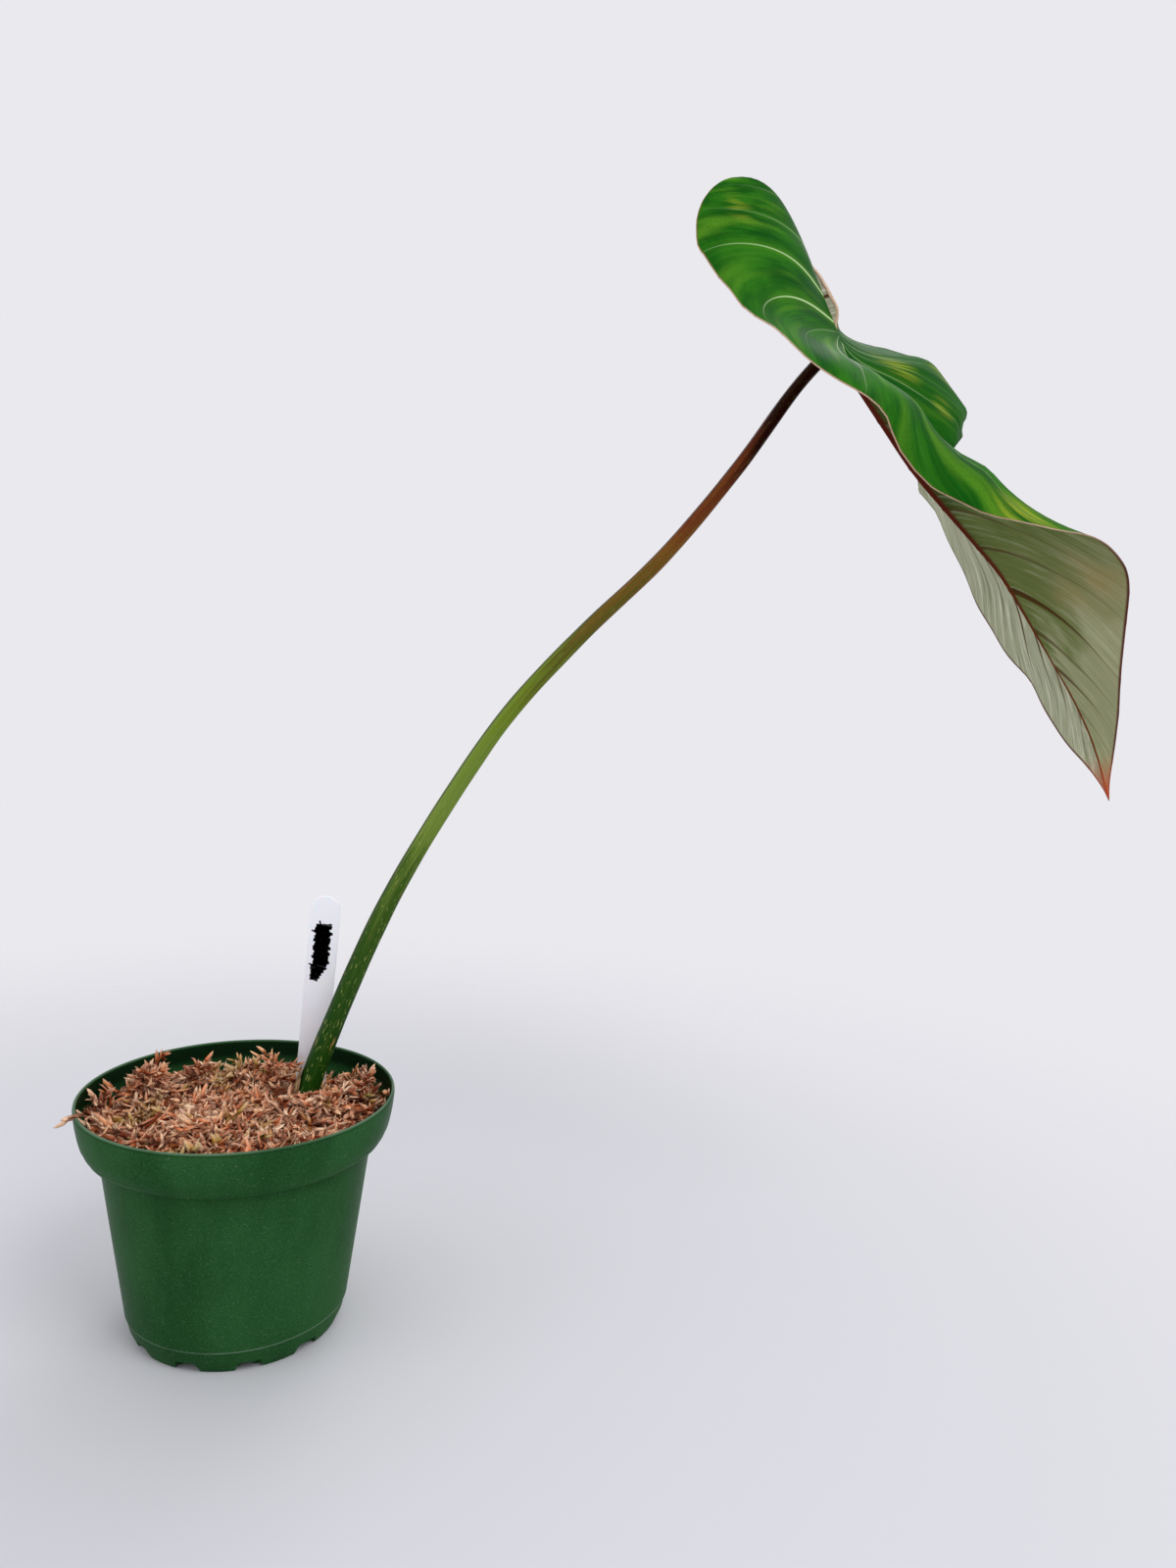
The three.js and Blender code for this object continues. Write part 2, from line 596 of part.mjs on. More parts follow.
// Directions at a distance along the midrib: along it, towards the near edge, and out of the upper face
function leafFrame(place) {
  const pitch = THREE.MathUtils.degToRad(leafCurves.pitch(place));
  const yaw = THREE.MathUtils.degToRad(leafCurves.yaw(place));
  const roll = THREE.MathUtils.degToRad(leafCurves.roll(place));
  const along = new THREE.Vector3(
    Math.cos(pitch) * Math.cos(yaw),
    Math.cos(pitch) * Math.sin(yaw),
    Math.sin(pitch),
  );
  const level = new THREE.Vector3(Math.sin(yaw), -Math.cos(yaw), 0);
  const upright = new THREE.Vector3().crossVectors(level, along);
  const near = level.clone().multiplyScalar(Math.cos(roll)).addScaledVector(upright, Math.sin(roll));
  const out = upright.multiplyScalar(Math.cos(roll)).addScaledVector(level, -Math.sin(roll));
  return { along, near, out };
}

// Points of the midrib line, which goes on straight behind the hub between the lobes
function traceSpine() {
  const points = new Map([[0, vector(LEAF_HUB)]]);
  [1, -1].forEach((way) => {
    const reach = way > 0 ? LEAF_LENGTH : LEAF_LOBE_LENGTH * 1.5;
    for (let i = 1; i * SPINE_STEP <= reach + SPINE_STEP; i += 1) {
      const middle = way * (i - 0.5) * SPINE_STEP;
      const previous = points.get(way * (i - 1));
      points.set(way * i, previous.clone().addScaledVector(leafFrame(middle).along, way * SPINE_STEP));
    }
  });
  return points;
}

const spinePoints = traceSpine();

function spineAt(place) {
  const before = Math.floor(place / SPINE_STEP);
  const share = place / SPINE_STEP - before;
  return spinePoints.get(before).clone().lerp(spinePoints.get(before + 1), share);
}

// A point of the bent blade. The flat heart's point is at place along the midrib and reach beside it.
function bladePoint(place, reach, side) {
  const half = side > 0 ? 'near' : 'far';
  const fold = THREE.MathUtils.degToRad(leafCurves[`${half}Fold`](place));
  const droop = THREE.MathUtils.degToRad(leafCurves[`${half}Droop`](place));
  const bend = Math.abs(droop) < 1e-3 ? 1e-3 / LEAF_HALF_WIDTH : droop / LEAF_HALF_WIDTH;
  const outwards = (Math.sin(fold) - Math.sin(fold - bend * reach)) / bend;
  const upwards = (Math.cos(fold - bend * reach) - Math.cos(fold)) / bend;
  const { near, out } = leafFrame(place);
  return spineAt(place).addScaledVector(near, side * outwards).addScaledVector(out, upwards);
}

function bladeNormal(place, reach, side) {
  if (reach < 1e-6) return leafFrame(place).out;
  const step = 0.5;
  const ahead = bladePoint(place + step, reach, side).sub(bladePoint(place - step, reach, side));
  const beside = bladePoint(place, reach + step, side).sub(bladePoint(place, reach - step, side));
  return beside.cross(ahead).multiplyScalar(side).normalize();
}

// The flat heart's edges, for one half: the outer one from the lobe's back to the tip, and the inner one
// from there round the sinus to the hub and then down the midrib
const lobeBack = new THREE.Vector2(-LEAF_LOBE_LENGTH, LEAF_LOBE_SPREAD);
const widest = new THREE.Vector2(0, LEAF_HALF_WIDTH);
const leafTip = new THREE.Vector2(LEAF_LENGTH, 0);
const sinus = new THREE.Vector2(-LEAF_SINUS_DEPTH, 0);
const shoulderEdge = new THREE.CubicBezierCurve(
  lobeBack,
  new THREE.Vector2(-LEAF_LOBE_LENGTH, THREE.MathUtils.lerp(LEAF_LOBE_SPREAD, LEAF_HALF_WIDTH, 0.55)),
  new THREE.Vector2(-0.6 * LEAF_LOBE_LENGTH, LEAF_HALF_WIDTH),
  widest,
);
const flankEdge = new THREE.CubicBezierCurve(
  widest,
  new THREE.Vector2(0.42 * LEAF_LENGTH, LEAF_HALF_WIDTH),
  new THREE.Vector2(0.76 * LEAF_LENGTH, 14),
  leafTip,
);
const sinusEdge = new THREE.CubicBezierCurve(
  lobeBack,
  new THREE.Vector2(-LEAF_LOBE_LENGTH, 0.25 * LEAF_LOBE_SPREAD),
  new THREE.Vector2(-LEAF_SINUS_DEPTH - 0.55 * LEAF_LOBE_LENGTH, 0.12 * LEAF_LOBE_SPREAD),
  sinus,
);

function outerEdge(share) {
  if (share <= WIDEST_ROW_SHARE) return shoulderEdge.getPoint(share / WIDEST_ROW_SHARE);
  return flankEdge.getPoint((share - WIDEST_ROW_SHARE) / (1 - WIDEST_ROW_SHARE));
}

function innerEdge(share) {
  if (share <= SINUS_ROW_SHARE) return sinusEdge.getPoint(share / SINUS_ROW_SHARE);
  return sinus.clone().lerp(leafTip, (share - SINUS_ROW_SHARE) / (1 - SINUS_ROW_SHARE));
}

// How far the midrib stands out under the blade, thickest at the hub and gone at the tip
function midribDepth(place, reach) {
  const length = THREE.MathUtils.clamp(1 - place / LEAF_LENGTH, 0, 1);
  const start = THREE.MathUtils.smoothstep(place, -3 * LEAF_SINUS_DEPTH, 0);
  const across = reach / MIDRIB_WIDTH;
  return MIDRIB_DEPTH * start * length ** 0.7 * Math.exp(-across * across);
}

// The blade as one body: both halves' upper and lower faces, split alike, joined round the edge.
// Clearance thickens it to cut the seat of the stalk.
function makeBlade(clearance) {
  const places = [];
  const triangles = [];
  const indexOf = new Map();
  const indexAt = (point, side) => {
    const onMidrib = point.y < 1e-6;
    const key = [point.x.toFixed(3), point.y.toFixed(3), onMidrib ? 0 : side].join();
    if (!indexOf.has(key)) {
      indexOf.set(key, places.length);
      places.push({ place: point.x, reach: Math.max(point.y, 0), side: onMidrib ? 1 : side });
    }
    return indexOf.get(key);
  };
  [1, -1].forEach((side) => {
    const grid = [];
    for (let row = 0; row <= LEAF_ROWS; row += 1) {
      const [inner, outer] = [innerEdge(row / LEAF_ROWS), outerEdge(row / LEAF_ROWS)];
      grid.push(LEAF_COLUMN_SHARES.map((share) => indexAt(inner.clone().lerp(outer, share), side)));
    }
    for (let row = 0; row < LEAF_ROWS; row += 1) {
      for (let k = 0; k < LEAF_COLUMN_SHARES.length - 1; k += 1) {
        const [a, b, c, d] = [grid[row][k], grid[row][k + 1], grid[row + 1][k + 1], grid[row + 1][k]];
        [[a, b, c], [a, c, d]].forEach((corners) => {
          if (new Set(corners).size === 3) triangles.push(side > 0 ? corners : corners.toReversed());
        });
      }
    }
  });
  const upper = places.map(({ place, reach, side }) => (
    bladePoint(place, reach, side)
      .addScaledVector(bladeNormal(place, reach, side), LEAF_THICKNESS / 2 + clearance)
  ));
  const lower = places.map(({ place, reach, side }) => {
    const depth = LEAF_THICKNESS / 2 + midribDepth(place, reach) + clearance;
    return bladePoint(place, reach, side).addScaledVector(bladeNormal(place, reach, side), -depth);
  });
  const edges = new Map();
  triangles.forEach((corners) => corners.forEach((from, i) => {
    const to = corners[(i + 1) % 3];
    if (!edges.delete(`${to},${from}`)) edges.set(`${from},${to}`, [from, to]);
  }));
  const shift = places.length;
  const faces = triangles.flatMap(([a, b, c]) => [a, b, c, shift + a, shift + c, shift + b]);
  edges.forEach(([from, to]) => faces.push(from, shift + from, shift + to, from, shift + to, to));
  return toManifold(solidFrom([...upper, ...lower], faces));
}

const MATERIALS = {
  pot: { color: 0x1f4a33, roughness: 0.5, metalness: 0 },
  moss: { color: 0xc08a6a, roughness: 0.95, metalness: 0 },
  rhizome: { color: 0x5c6b34, roughness: 0.7, metalness: 0 },
  petiole: { color: 0x4c7a2b, roughness: 0.55, metalness: 0 },
  sheath: { color: 0xb39b6c, roughness: 0.85, metalness: 0 },
  leaf: { color: 0x2f7a2c, roughness: 0.65, metalness: 0 },
  label: { color: 0xeceef2, roughness: 0.45, metalness: 0 },
};

function piece(name, geometry, finish) {
  const mesh = new THREE.Mesh(geometry, new THREE.MeshStandardMaterial(MATERIALS[finish]));
  mesh.name = name;
  return mesh;
}

const rhizome = makeRhizome(0);
const sheath = makeSheath(0);
const petioleSeats = makeRhizome(GAP).add(makeBlade(GAP));
const petiole = largestBody(makePetiole(0).subtract(petioleSeats));
const mossHoles = [makeRhizome(GAP), makePetiole(GAP), makeSheath(GAP), makeLabel(GAP)];

const plant = new THREE.Group();
plant.add(piece('pot', makePot(), 'pot'));
plant.add(piece('moss_bed', makeMoss(mossHoles), 'moss'));
plant.add(piece('rhizome', toGeometry(rhizome), 'rhizome'));
plant.add(piece('petiole', toGeometry(petiole), 'petiole'));
plant.add(piece('dry_sheath', toGeometry(sheath), 'sheath'));
plant.add(piece('leaf_blade', toGeometry(makeBlade(0)), 'leaf'));
plant.add(piece('plant_label', toGeometry(makeLabel(0)), 'label'));

export default plant;
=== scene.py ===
"""Looks of a potted Philodendron gloriosum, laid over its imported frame."""

import json
import logging
import math
from dataclasses import dataclass, field
from enum import Enum
from functools import reduce
from typing import Sequence

import bpy
import numpy as np
from mathutils import Matrix, Vector

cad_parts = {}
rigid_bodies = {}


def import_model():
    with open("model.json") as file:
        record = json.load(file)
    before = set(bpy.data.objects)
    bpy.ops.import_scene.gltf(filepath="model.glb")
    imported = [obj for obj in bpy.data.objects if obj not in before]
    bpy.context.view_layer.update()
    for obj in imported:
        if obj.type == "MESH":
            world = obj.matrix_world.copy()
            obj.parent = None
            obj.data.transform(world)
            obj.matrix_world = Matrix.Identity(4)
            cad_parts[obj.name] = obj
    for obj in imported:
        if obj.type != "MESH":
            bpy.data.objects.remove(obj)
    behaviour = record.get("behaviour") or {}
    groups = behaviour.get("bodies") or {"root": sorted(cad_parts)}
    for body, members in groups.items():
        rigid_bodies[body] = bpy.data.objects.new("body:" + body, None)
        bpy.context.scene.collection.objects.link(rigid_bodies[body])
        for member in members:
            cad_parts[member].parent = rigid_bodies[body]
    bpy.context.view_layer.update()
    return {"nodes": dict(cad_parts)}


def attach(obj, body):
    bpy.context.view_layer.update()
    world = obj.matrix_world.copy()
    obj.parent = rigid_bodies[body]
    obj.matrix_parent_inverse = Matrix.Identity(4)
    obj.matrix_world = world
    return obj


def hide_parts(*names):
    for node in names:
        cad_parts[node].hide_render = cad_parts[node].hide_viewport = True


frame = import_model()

MM = 0.001
TURN = 2 * math.pi
BODY = "root"
LOG = logging.getLogger("potted_philodendron")

Colour = tuple[float, float, float, float]
Point = tuple[float, float, float]
Span = tuple[float, float]
Face = tuple[int, ...]
Array = np.ndarray
Chance = np.random.Generator
Socket = bpy.types.NodeSocket
Material = bpy.types.Material
Piece = bpy.types.Object


class Side(Enum):
    """The two halves of the leaf, seen with the tip away: towards the camera's side, or behind."""

    NEAR = 1
    FAR = -1


@dataclass(frozen=True)
class LayerSizes:
    """How the strands of one layer of moss are made and laid, in millimetres and strands a square metre."""

    name: str
    steps: int
    shortest: float
    longest: float
    scales: int
    tilt: float
    smallest: float
    largest: float
    density: float
    seed: int


class Layer(Enum):
    """The layers of moss strands: a pressed mat, and loose strands on it."""

    MAT = LayerSizes("mat", 6, 10, 17, 6, 0.26, 0.75, 1.3, 62000, 11)
    LOOSE = LayerSizes("loose", 8, 15, 27, 9, 0.36, 0.95, 1.75, 40000, 12)


def srgb(red: float, green: float, blue: float) -> Colour:
    """Turn a colour as seen on a screen into the linear one that shaders take.

    Args:
        red: Red from 0 to 255.
        green: Green from 0 to 255.
        blue: Blue from 0 to 255.

    Returns:
        The linear colour with full alpha.
    """
    linear = []
    for value in (red, green, blue):
        share = value / 255
        linear.append(share / 12.92 if share <= 0.04045 else ((share + 0.055) / 1.055) ** 2.4)
    return (linear[0], linear[1], linear[2], 1.0)


def smoothstep(low: float, high: float, value: Array) -> Array:
    """Rise smoothly from 0 where the value is low to 1 where it is high."""
    share = np.clip((np.asarray(value, float) - low) / (high - low), 0, 1)
    return share * share * (3 - 2 * share)


def hump(value: Array, rise: Span, fall: Span) -> Array:
    """Rise smoothly from 0 to 1 over one span of values, and fall back over another."""
    return smoothstep(*rise, value) * (1 - smoothstep(*fall, value))


def unit(vectors: Array) -> Array:
    """Give the vectors of an array, whose last axis is x, y and z, a length of one."""
    length = np.linalg.norm(vectors, axis=-1, keepdims=True)
    return vectors / np.maximum(length, 1e-12)


class SmoothCurve:
    """A curve through given values that never overshoots them."""

    def __init__(self, places: Sequence[float], values: Sequence[float]) -> None:
        """Work out the slopes at the given places.

        Args:
            places: Places in rising order.
            values: The value at each place.
        """
        self.places = np.asarray(places, float)
        self.values = np.asarray(values, float)
        self.gaps = np.diff(self.places)
        slopes = np.diff(self.values) / self.gaps
        self.tangents = np.append(slopes[:1], slopes)
        for i, (before, after) in enumerate(zip(slopes, slopes[1:])):
            self.tangents[i + 1] = 2 * before * after / (before + after) if before * after > 0 else 0

    def at(self, place: Array) -> Array:
        """Read the curve.

        Args:
            place: Places to read, held within the curve's ends.

        Returns:
            The value at each place.
        """
        held = np.clip(np.asarray(place, float), self.places[0], self.places[-1])
        i = np.clip(np.searchsorted(self.places, held, side="left") - 1, 0, len(self.gaps) - 1)
        gap = self.gaps[i]
        t = (held - self.places[i]) / gap
        t2 = t * t
        t3 = t2 * t
        return (
            (2 * t3 - 3 * t2 + 1) * self.values[i]
            + (t3 - 2 * t2 + t) * gap * self.tangents[i]
            + (3 * t2 - 2 * t3) * self.values[i + 1]
            + (t3 - t2) * gap * self.tangents[i + 1]
        )


def bezier(points: Sequence[Sequence[float]], share: Array) -> Array:
    """Walk along a cubic Bezier curve.

    Args:
        points: The curve's four control points.
        share: How far along, from 0 to 1.

    Returns:
        The point at each share.
    """
    a, b, c, d = [np.asarray(point, float) for point in points]
    t = np.asarray(share, float)[..., None]
    m = 1 - t
    return m**3 * a + 3 * m * m * t * b + 3 * m * t * t * c + t**3 * d


def walked(line: Array) -> Array:
    """How far along a line each of its points lies."""
    return np.concatenate([[0.0], np.cumsum(np.linalg.norm(np.diff(line, axis=0), axis=1))])


def spaced(line: Array, count: int) -> Array:
    """Set points evenly along a line.

    Args:
        line: The line's points.
        count: How many points are wanted.

    Returns:
        The new points.
    """
    spots = walked(line)
    stops = np.linspace(0, spots[-1], count)
    return np.stack([np.interp(stops, spots, line[:, k]) for k in range(line.shape[1])], axis=1)


def path_through(points: Sequence[Point], count: int) -> Array:
    """Draw a smooth path through points, by blending lines through each four that follow one another.

    Args:
        points: The points that the path goes through, in order.
        count: How many points the path gets.

    Returns:
        The path's points, evenly spaced along it.
    """
    knots = np.asarray(points, float)
    knots = np.vstack([2 * knots[0] - knots[1], knots, 2 * knots[-1] - knots[-2]])
    blends = (((0, 1), (1, 2), (2, 3)), ((0, 2), (1, 3)), ((1, 2),))
    fine = []
    for i in range(1, len(knots) - 2):
        four = knots[i - 1 : i + 3]
        steps = np.sqrt(np.linalg.norm(np.diff(four, axis=0), axis=1))
        times = np.concatenate([[0.0], np.cumsum(np.maximum(steps, 1e-6))])
        for t in np.linspace(times[1], times[2], 24, endpoint=False):
            level = list(four)
            for spans in blends:
                level = [
                    ((times[b] - t) * level[k] + (t - times[a]) * level[k + 1]) / (times[b] - times[a])
                    for k, (a, b) in enumerate(spans)
                ]
            fine.append(level[0])
    fine.append(knots[-2])
    return spaced(np.array(fine), count)


def ring_faces(rings: int, sides: int) -> list[Face]:
    """Join like rings of points, each to the next, into a band.

    Args:
        rings: How many rings there are.
        sides: How many points each ring has.

    Returns:
        The faces.
    """
    faces = []
    for i in range(rings - 1):
        for k in range(sides):
            after = (k + 1) % sides
            faces.append((i * sides + k, i * sides + after, (i + 1) * sides + after, (i + 1) * sides + k))
    return faces


def fanned_faces(rings: int, sides: int, flipped: bool = False) -> list[Face]:
    """Join rings into a body that is closed by a fan at each end.

    Args:
        rings: How many rings there are.
        sides: How many points each ring has.
        flipped: Whether the faces are turned round.

    Returns:
        The faces; the two fans' middle points follow the rings.
    """
    faces = ring_faces(rings, sides)
    start = rings * sides
    top = start - sides
    for k in range(sides):
        after = (k + 1) % sides
        faces.append((start, after, k))
        faces.append((start + 1, top + k, top + after))
    return [(face[0],) + face[:0:-1] for face in faces] if flipped else faces


def block_faces(rings: int, sides: int) -> list[Face]:
    """Join rings of so many sides into a body with one face at each end."""
    count = rings * sides
    return [tuple(range(sides))[::-1], tuple(range(count - sides, count))] + ring_faces(rings, sides)


def shell_faces(rows: int, columns: int) -> list[Face]:
    """Join two like grids of points into a closed shell.

    Args:
        rows: Steps of the grid one way.
        columns: Steps of the grid the other way.

    Returns:
        The faces; the second grid's points follow the first one's.
    """
    wide = columns + 1
    shift = (rows + 1) * wide
    faces: list[Face] = []
    for i in range(rows):
        for k in range(columns):
            a = i * wide + k
            faces.append((a, a + 1, a + wide + 1, a + wide))
            faces.append((shift + a, shift + a + wide, shift + a + wide + 1, shift + a + 1))
    rim = list(range(columns)) + [i * wide + columns for i in range(rows)]
    rim += [rows * wide + k for k in range(columns, 0, -1)] + [i * wide for i in range(rows, 0, -1)]
    for a, b in zip(rim, rim[1:] + rim[:1]):
        faces.append((a, shift + a, shift + b, b))
    return faces


def added(name: str, data: bpy.types.ID) -> Piece:
    """Make an object of some data, at the origin of the scene.

    Args:
        name: Name of the object.
        data: Its mesh, camera or light.

    Returns:
        The object.
    """
    piece = bpy.data.objects.new(name, data)
    bpy.context.scene.collection.objects.link(piece)
    return piece


@dataclass
class Patch:
    """A mesh under construction, in millimetres, with values stored at its points."""

    points: Array
    faces: list[Face]
    values: dict[str, Array] = field(default_factory=dict)
    slots: list[int] | None = None

    def joined(self, other: "Patch") -> "Patch":
        """Put another patch beside this one, as one mesh.

        Args:
            other: The patch to add, with the same stored values.

        Returns:
            Both patches as one.
        """
        shift = len(self.points)
        moved = [tuple(index + shift for index in face) for face in other.faces]
        values = {name: np.concatenate([self.values[name], other.values[name]]) for name in self.values}
        return Patch(np.vstack([self.points, other.points]), self.faces + moved, values)

    def build(self, name: str, materials: Sequence[Material] = (), sharp_degrees: float = 180) -> Piece:
        """Make the mesh and its object.

        Args:
            name: Name of the piece.
            materials: Materials in the order of the face slots.
            sharp_degrees: Edges that bend more than this stay sharp.

        Returns:
            The new object, at the origin.
        """
        mesh = bpy.data.meshes.new(name)
        mesh.from_pydata((self.points * MM).tolist(), [], self.faces)
        for key, values in self.values.items():
            layer = mesh.attributes.new(key, "FLOAT", "POINT")
            layer.data.foreach_set("value", np.asarray(values, np.float32))
        for material in materials:
            mesh.materials.append(material)
        if self.slots is not None:
            mesh.polygons.foreach_set("material_index", self.slots)
        mesh.validate()
        mesh.shade_smooth()
        if sharp_degrees < 180:
            mesh.set_sharp_from_angle(angle=math.radians(sharp_degrees))
        mesh.update()
        return added(name, mesh)


def swept_tube(path: Array, radii: Array, sides: int) -> Patch:
    """Sweep a round section along a path, closed at both ends.

    Args:
        path: The path's points.
        radii: The section's radius at each point.
        sides: How many sides the section has.

    Returns:
        The tube, with the attributes along (0 to 1) and around (0 to 1).
    """
    count = len(path)
    tangents = unit(np.gradient(path, axis=0))
    normal = np.cross(tangents[0], (0.0, 0.0, 1.0))
    if np.linalg.norm(normal) < 0.1:
        normal = np.cross(tangents[0], (0.0, 1.0, 0.0))
    normals = []
    for tangent in tangents:
        normal = unit(normal - tangent * np.dot(normal, tangent))
        normals.append(normal)
    wide = np.array(normals)
    thin = np.cross(tangents, wide)
    angles = np.linspace(0, TURN, sides, endpoint=False)
    rings = (
        path[:, None]
        + (radii[:, None] * np.cos(angles))[..., None] * wide[:, None]
        + (radii[:, None] * np.sin(angles))[..., None] * thin[:, None]
    )
    points = np.vstack([rings.reshape(-1, 3), path[:1], path[-1:]])
    along = np.concatenate([np.repeat(np.linspace(0, 1, count), sides), [0.0, 1.0]])
    around = np.concatenate([np.tile(angles / TURN, count), [0.0, 0.0]])
    return Patch(points, fanned_faces(count, sides), {"along": along, "around": around})


@dataclass(frozen=True)
class MossSprig:
    """How a strand of long-fibre moss is built: a thin stem set with small scale leaves."""

    stem_radius: float = 0.6
    scale_length: float = 5.8
    scale_half_width: float = 1.05
    scale_thickness: float = 0.35
    scale_cup: float = 0.6
    spread: float = 0.38
    sections: tuple[Span, ...] = ((0.35, 1.0), (0.75, 0.72))
    upper_faces: tuple[Face, ...] = (
        (0, 3, 1), (0, 2, 3), (3, 7, 5), (3, 5, 1), (3, 2, 6), (3, 6, 7), (7, 9, 5), (7, 6, 9),
    )
    below: tuple[int, ...] = (0, 1, 2, 4, 4, 5, 6, 8, 8, 9)
    tips: tuple[float, ...] = (0.0, 0.6, 0.6, 0.25, 0.25, 0.9, 0.9, 0.55, 0.55, 1.0)

    def scale(self, base: Array, heading: Array, across: Array, rng: Chance) -> Array:
        """Make the ten points of one boat-shaped scale leaf.

        Args:
            base: Where it sits.
            heading: Which way it points.
            across: Which way its width goes.
            rng: Source of chance.

        Returns:
            Its base, two cross sections of four points each, and its tip.
        """
        lift = np.cross(heading, across)
        length = self.scale_length * rng.uniform(0.6, 1.35)
        width = self.scale_half_width * rng.uniform(0.6, 1.3)
        curl = rng.uniform(-4.0, 2.0)
        points = [base]
        for share, broad in self.sections:
            middle = base + heading * length * share + lift * curl * share**2
            side = across * width * broad
            rim = lift * self.scale_cup * broad
            points += [middle + side + rim, middle - side + rim, middle, middle - lift * self.scale_thickness]
        points.append(base + heading * length * 0.97 + lift * curl)
        return np.array(points)

    def along(self, path: Array, scales: int, rng: Chance) -> Patch:
        """Dress a path with a stem and its scale leaves.

        Args:
            path: The stem's path.
            scales: How many scale leaves it bears.
            rng: Source of chance.

        Returns:
            The sprig, whose attribute tip is 0 on the stem and 1 at the ends of the scale leaves.
        """
        share = np.linspace(0, 1, len(path))
        stem = swept_tube(path, self.stem_radius * np.interp(share, (0, 0.8, 1), (1, 0.8, 0.3)), 3)
        stem.values = {"tip": np.zeros(len(stem.points))}
        tangents = unit(np.gradient(path, axis=0))
        points = []
        faces = []
        for number in range(scales):
            spot = (number + rng.uniform(0, 0.8)) / scales * (len(path) - 1)
            low = min(int(spot), len(path) - 2)
            base = path[low] + (path[low + 1] - path[low]) * (spot - low)
            sideways = unit(np.cross(tangents[low], rng.normal(size=3)))
            heading = unit(tangents[low] + sideways * self.spread * rng.uniform(0.3, 1.4))
            across = unit(np.cross(heading, sideways + rng.normal(size=3) * 0.3))
            first = 10 * number
            points.append(self.scale(base, heading, across, rng))
            for face in self.upper_faces:
                faces.append(tuple(first + index for index in face))
                faces.append(tuple(first + self.below[index] for index in face[::-1]))
        return stem.joined(Patch(np.vstack(points), faces, {"tip": np.tile(self.tips, scales)}))


class NodeTree:
    """A tree of nodes, with short ways to add and link them."""

    def __init__(self, tree: bpy.types.NodeTree) -> None:
        """Hold the tree that the nodes are added to."""
        self.tree = tree

    def feed(self, socket: Socket, value: object) -> None:
        """Link or set one input.

        Args:
            socket: The input.
            value: An output to link, or a plain value.
        """
        if isinstance(value, Socket):
            self.tree.links.new(value, socket)
        else:
            socket.default_value = value

    def add(self, kind: str, inputs: dict | None = None, **settings: object) -> bpy.types.Node:
        """Add a node.

        Args:
            kind: The node's type.
            inputs: Its inputs by name or number, each a socket or a value.
            settings: Its own settings.

        Returns:
            The node.
        """
        node = self.tree.nodes.new(kind)
        for name, value in settings.items():
            setattr(node, name, value)
        for key, value in (inputs or {}).items():
            self.feed(node.inputs[key], value)
        return node

    def vector(self, x: object, y: object, z: object) -> Socket:
        """Join three values into a vector."""
        return self.add("ShaderNodeCombineXYZ", {0: x, 1: y, 2: z}).outputs[0]

    def maths(self, operation: str, first: object, second: object = 0.0, third: object = 0.0) -> Socket:
        """Work out an operation on up to three values."""
        return self.add("ShaderNodeMath", {0: first, 1: second, 2: third}, operation=operation).outputs[0]


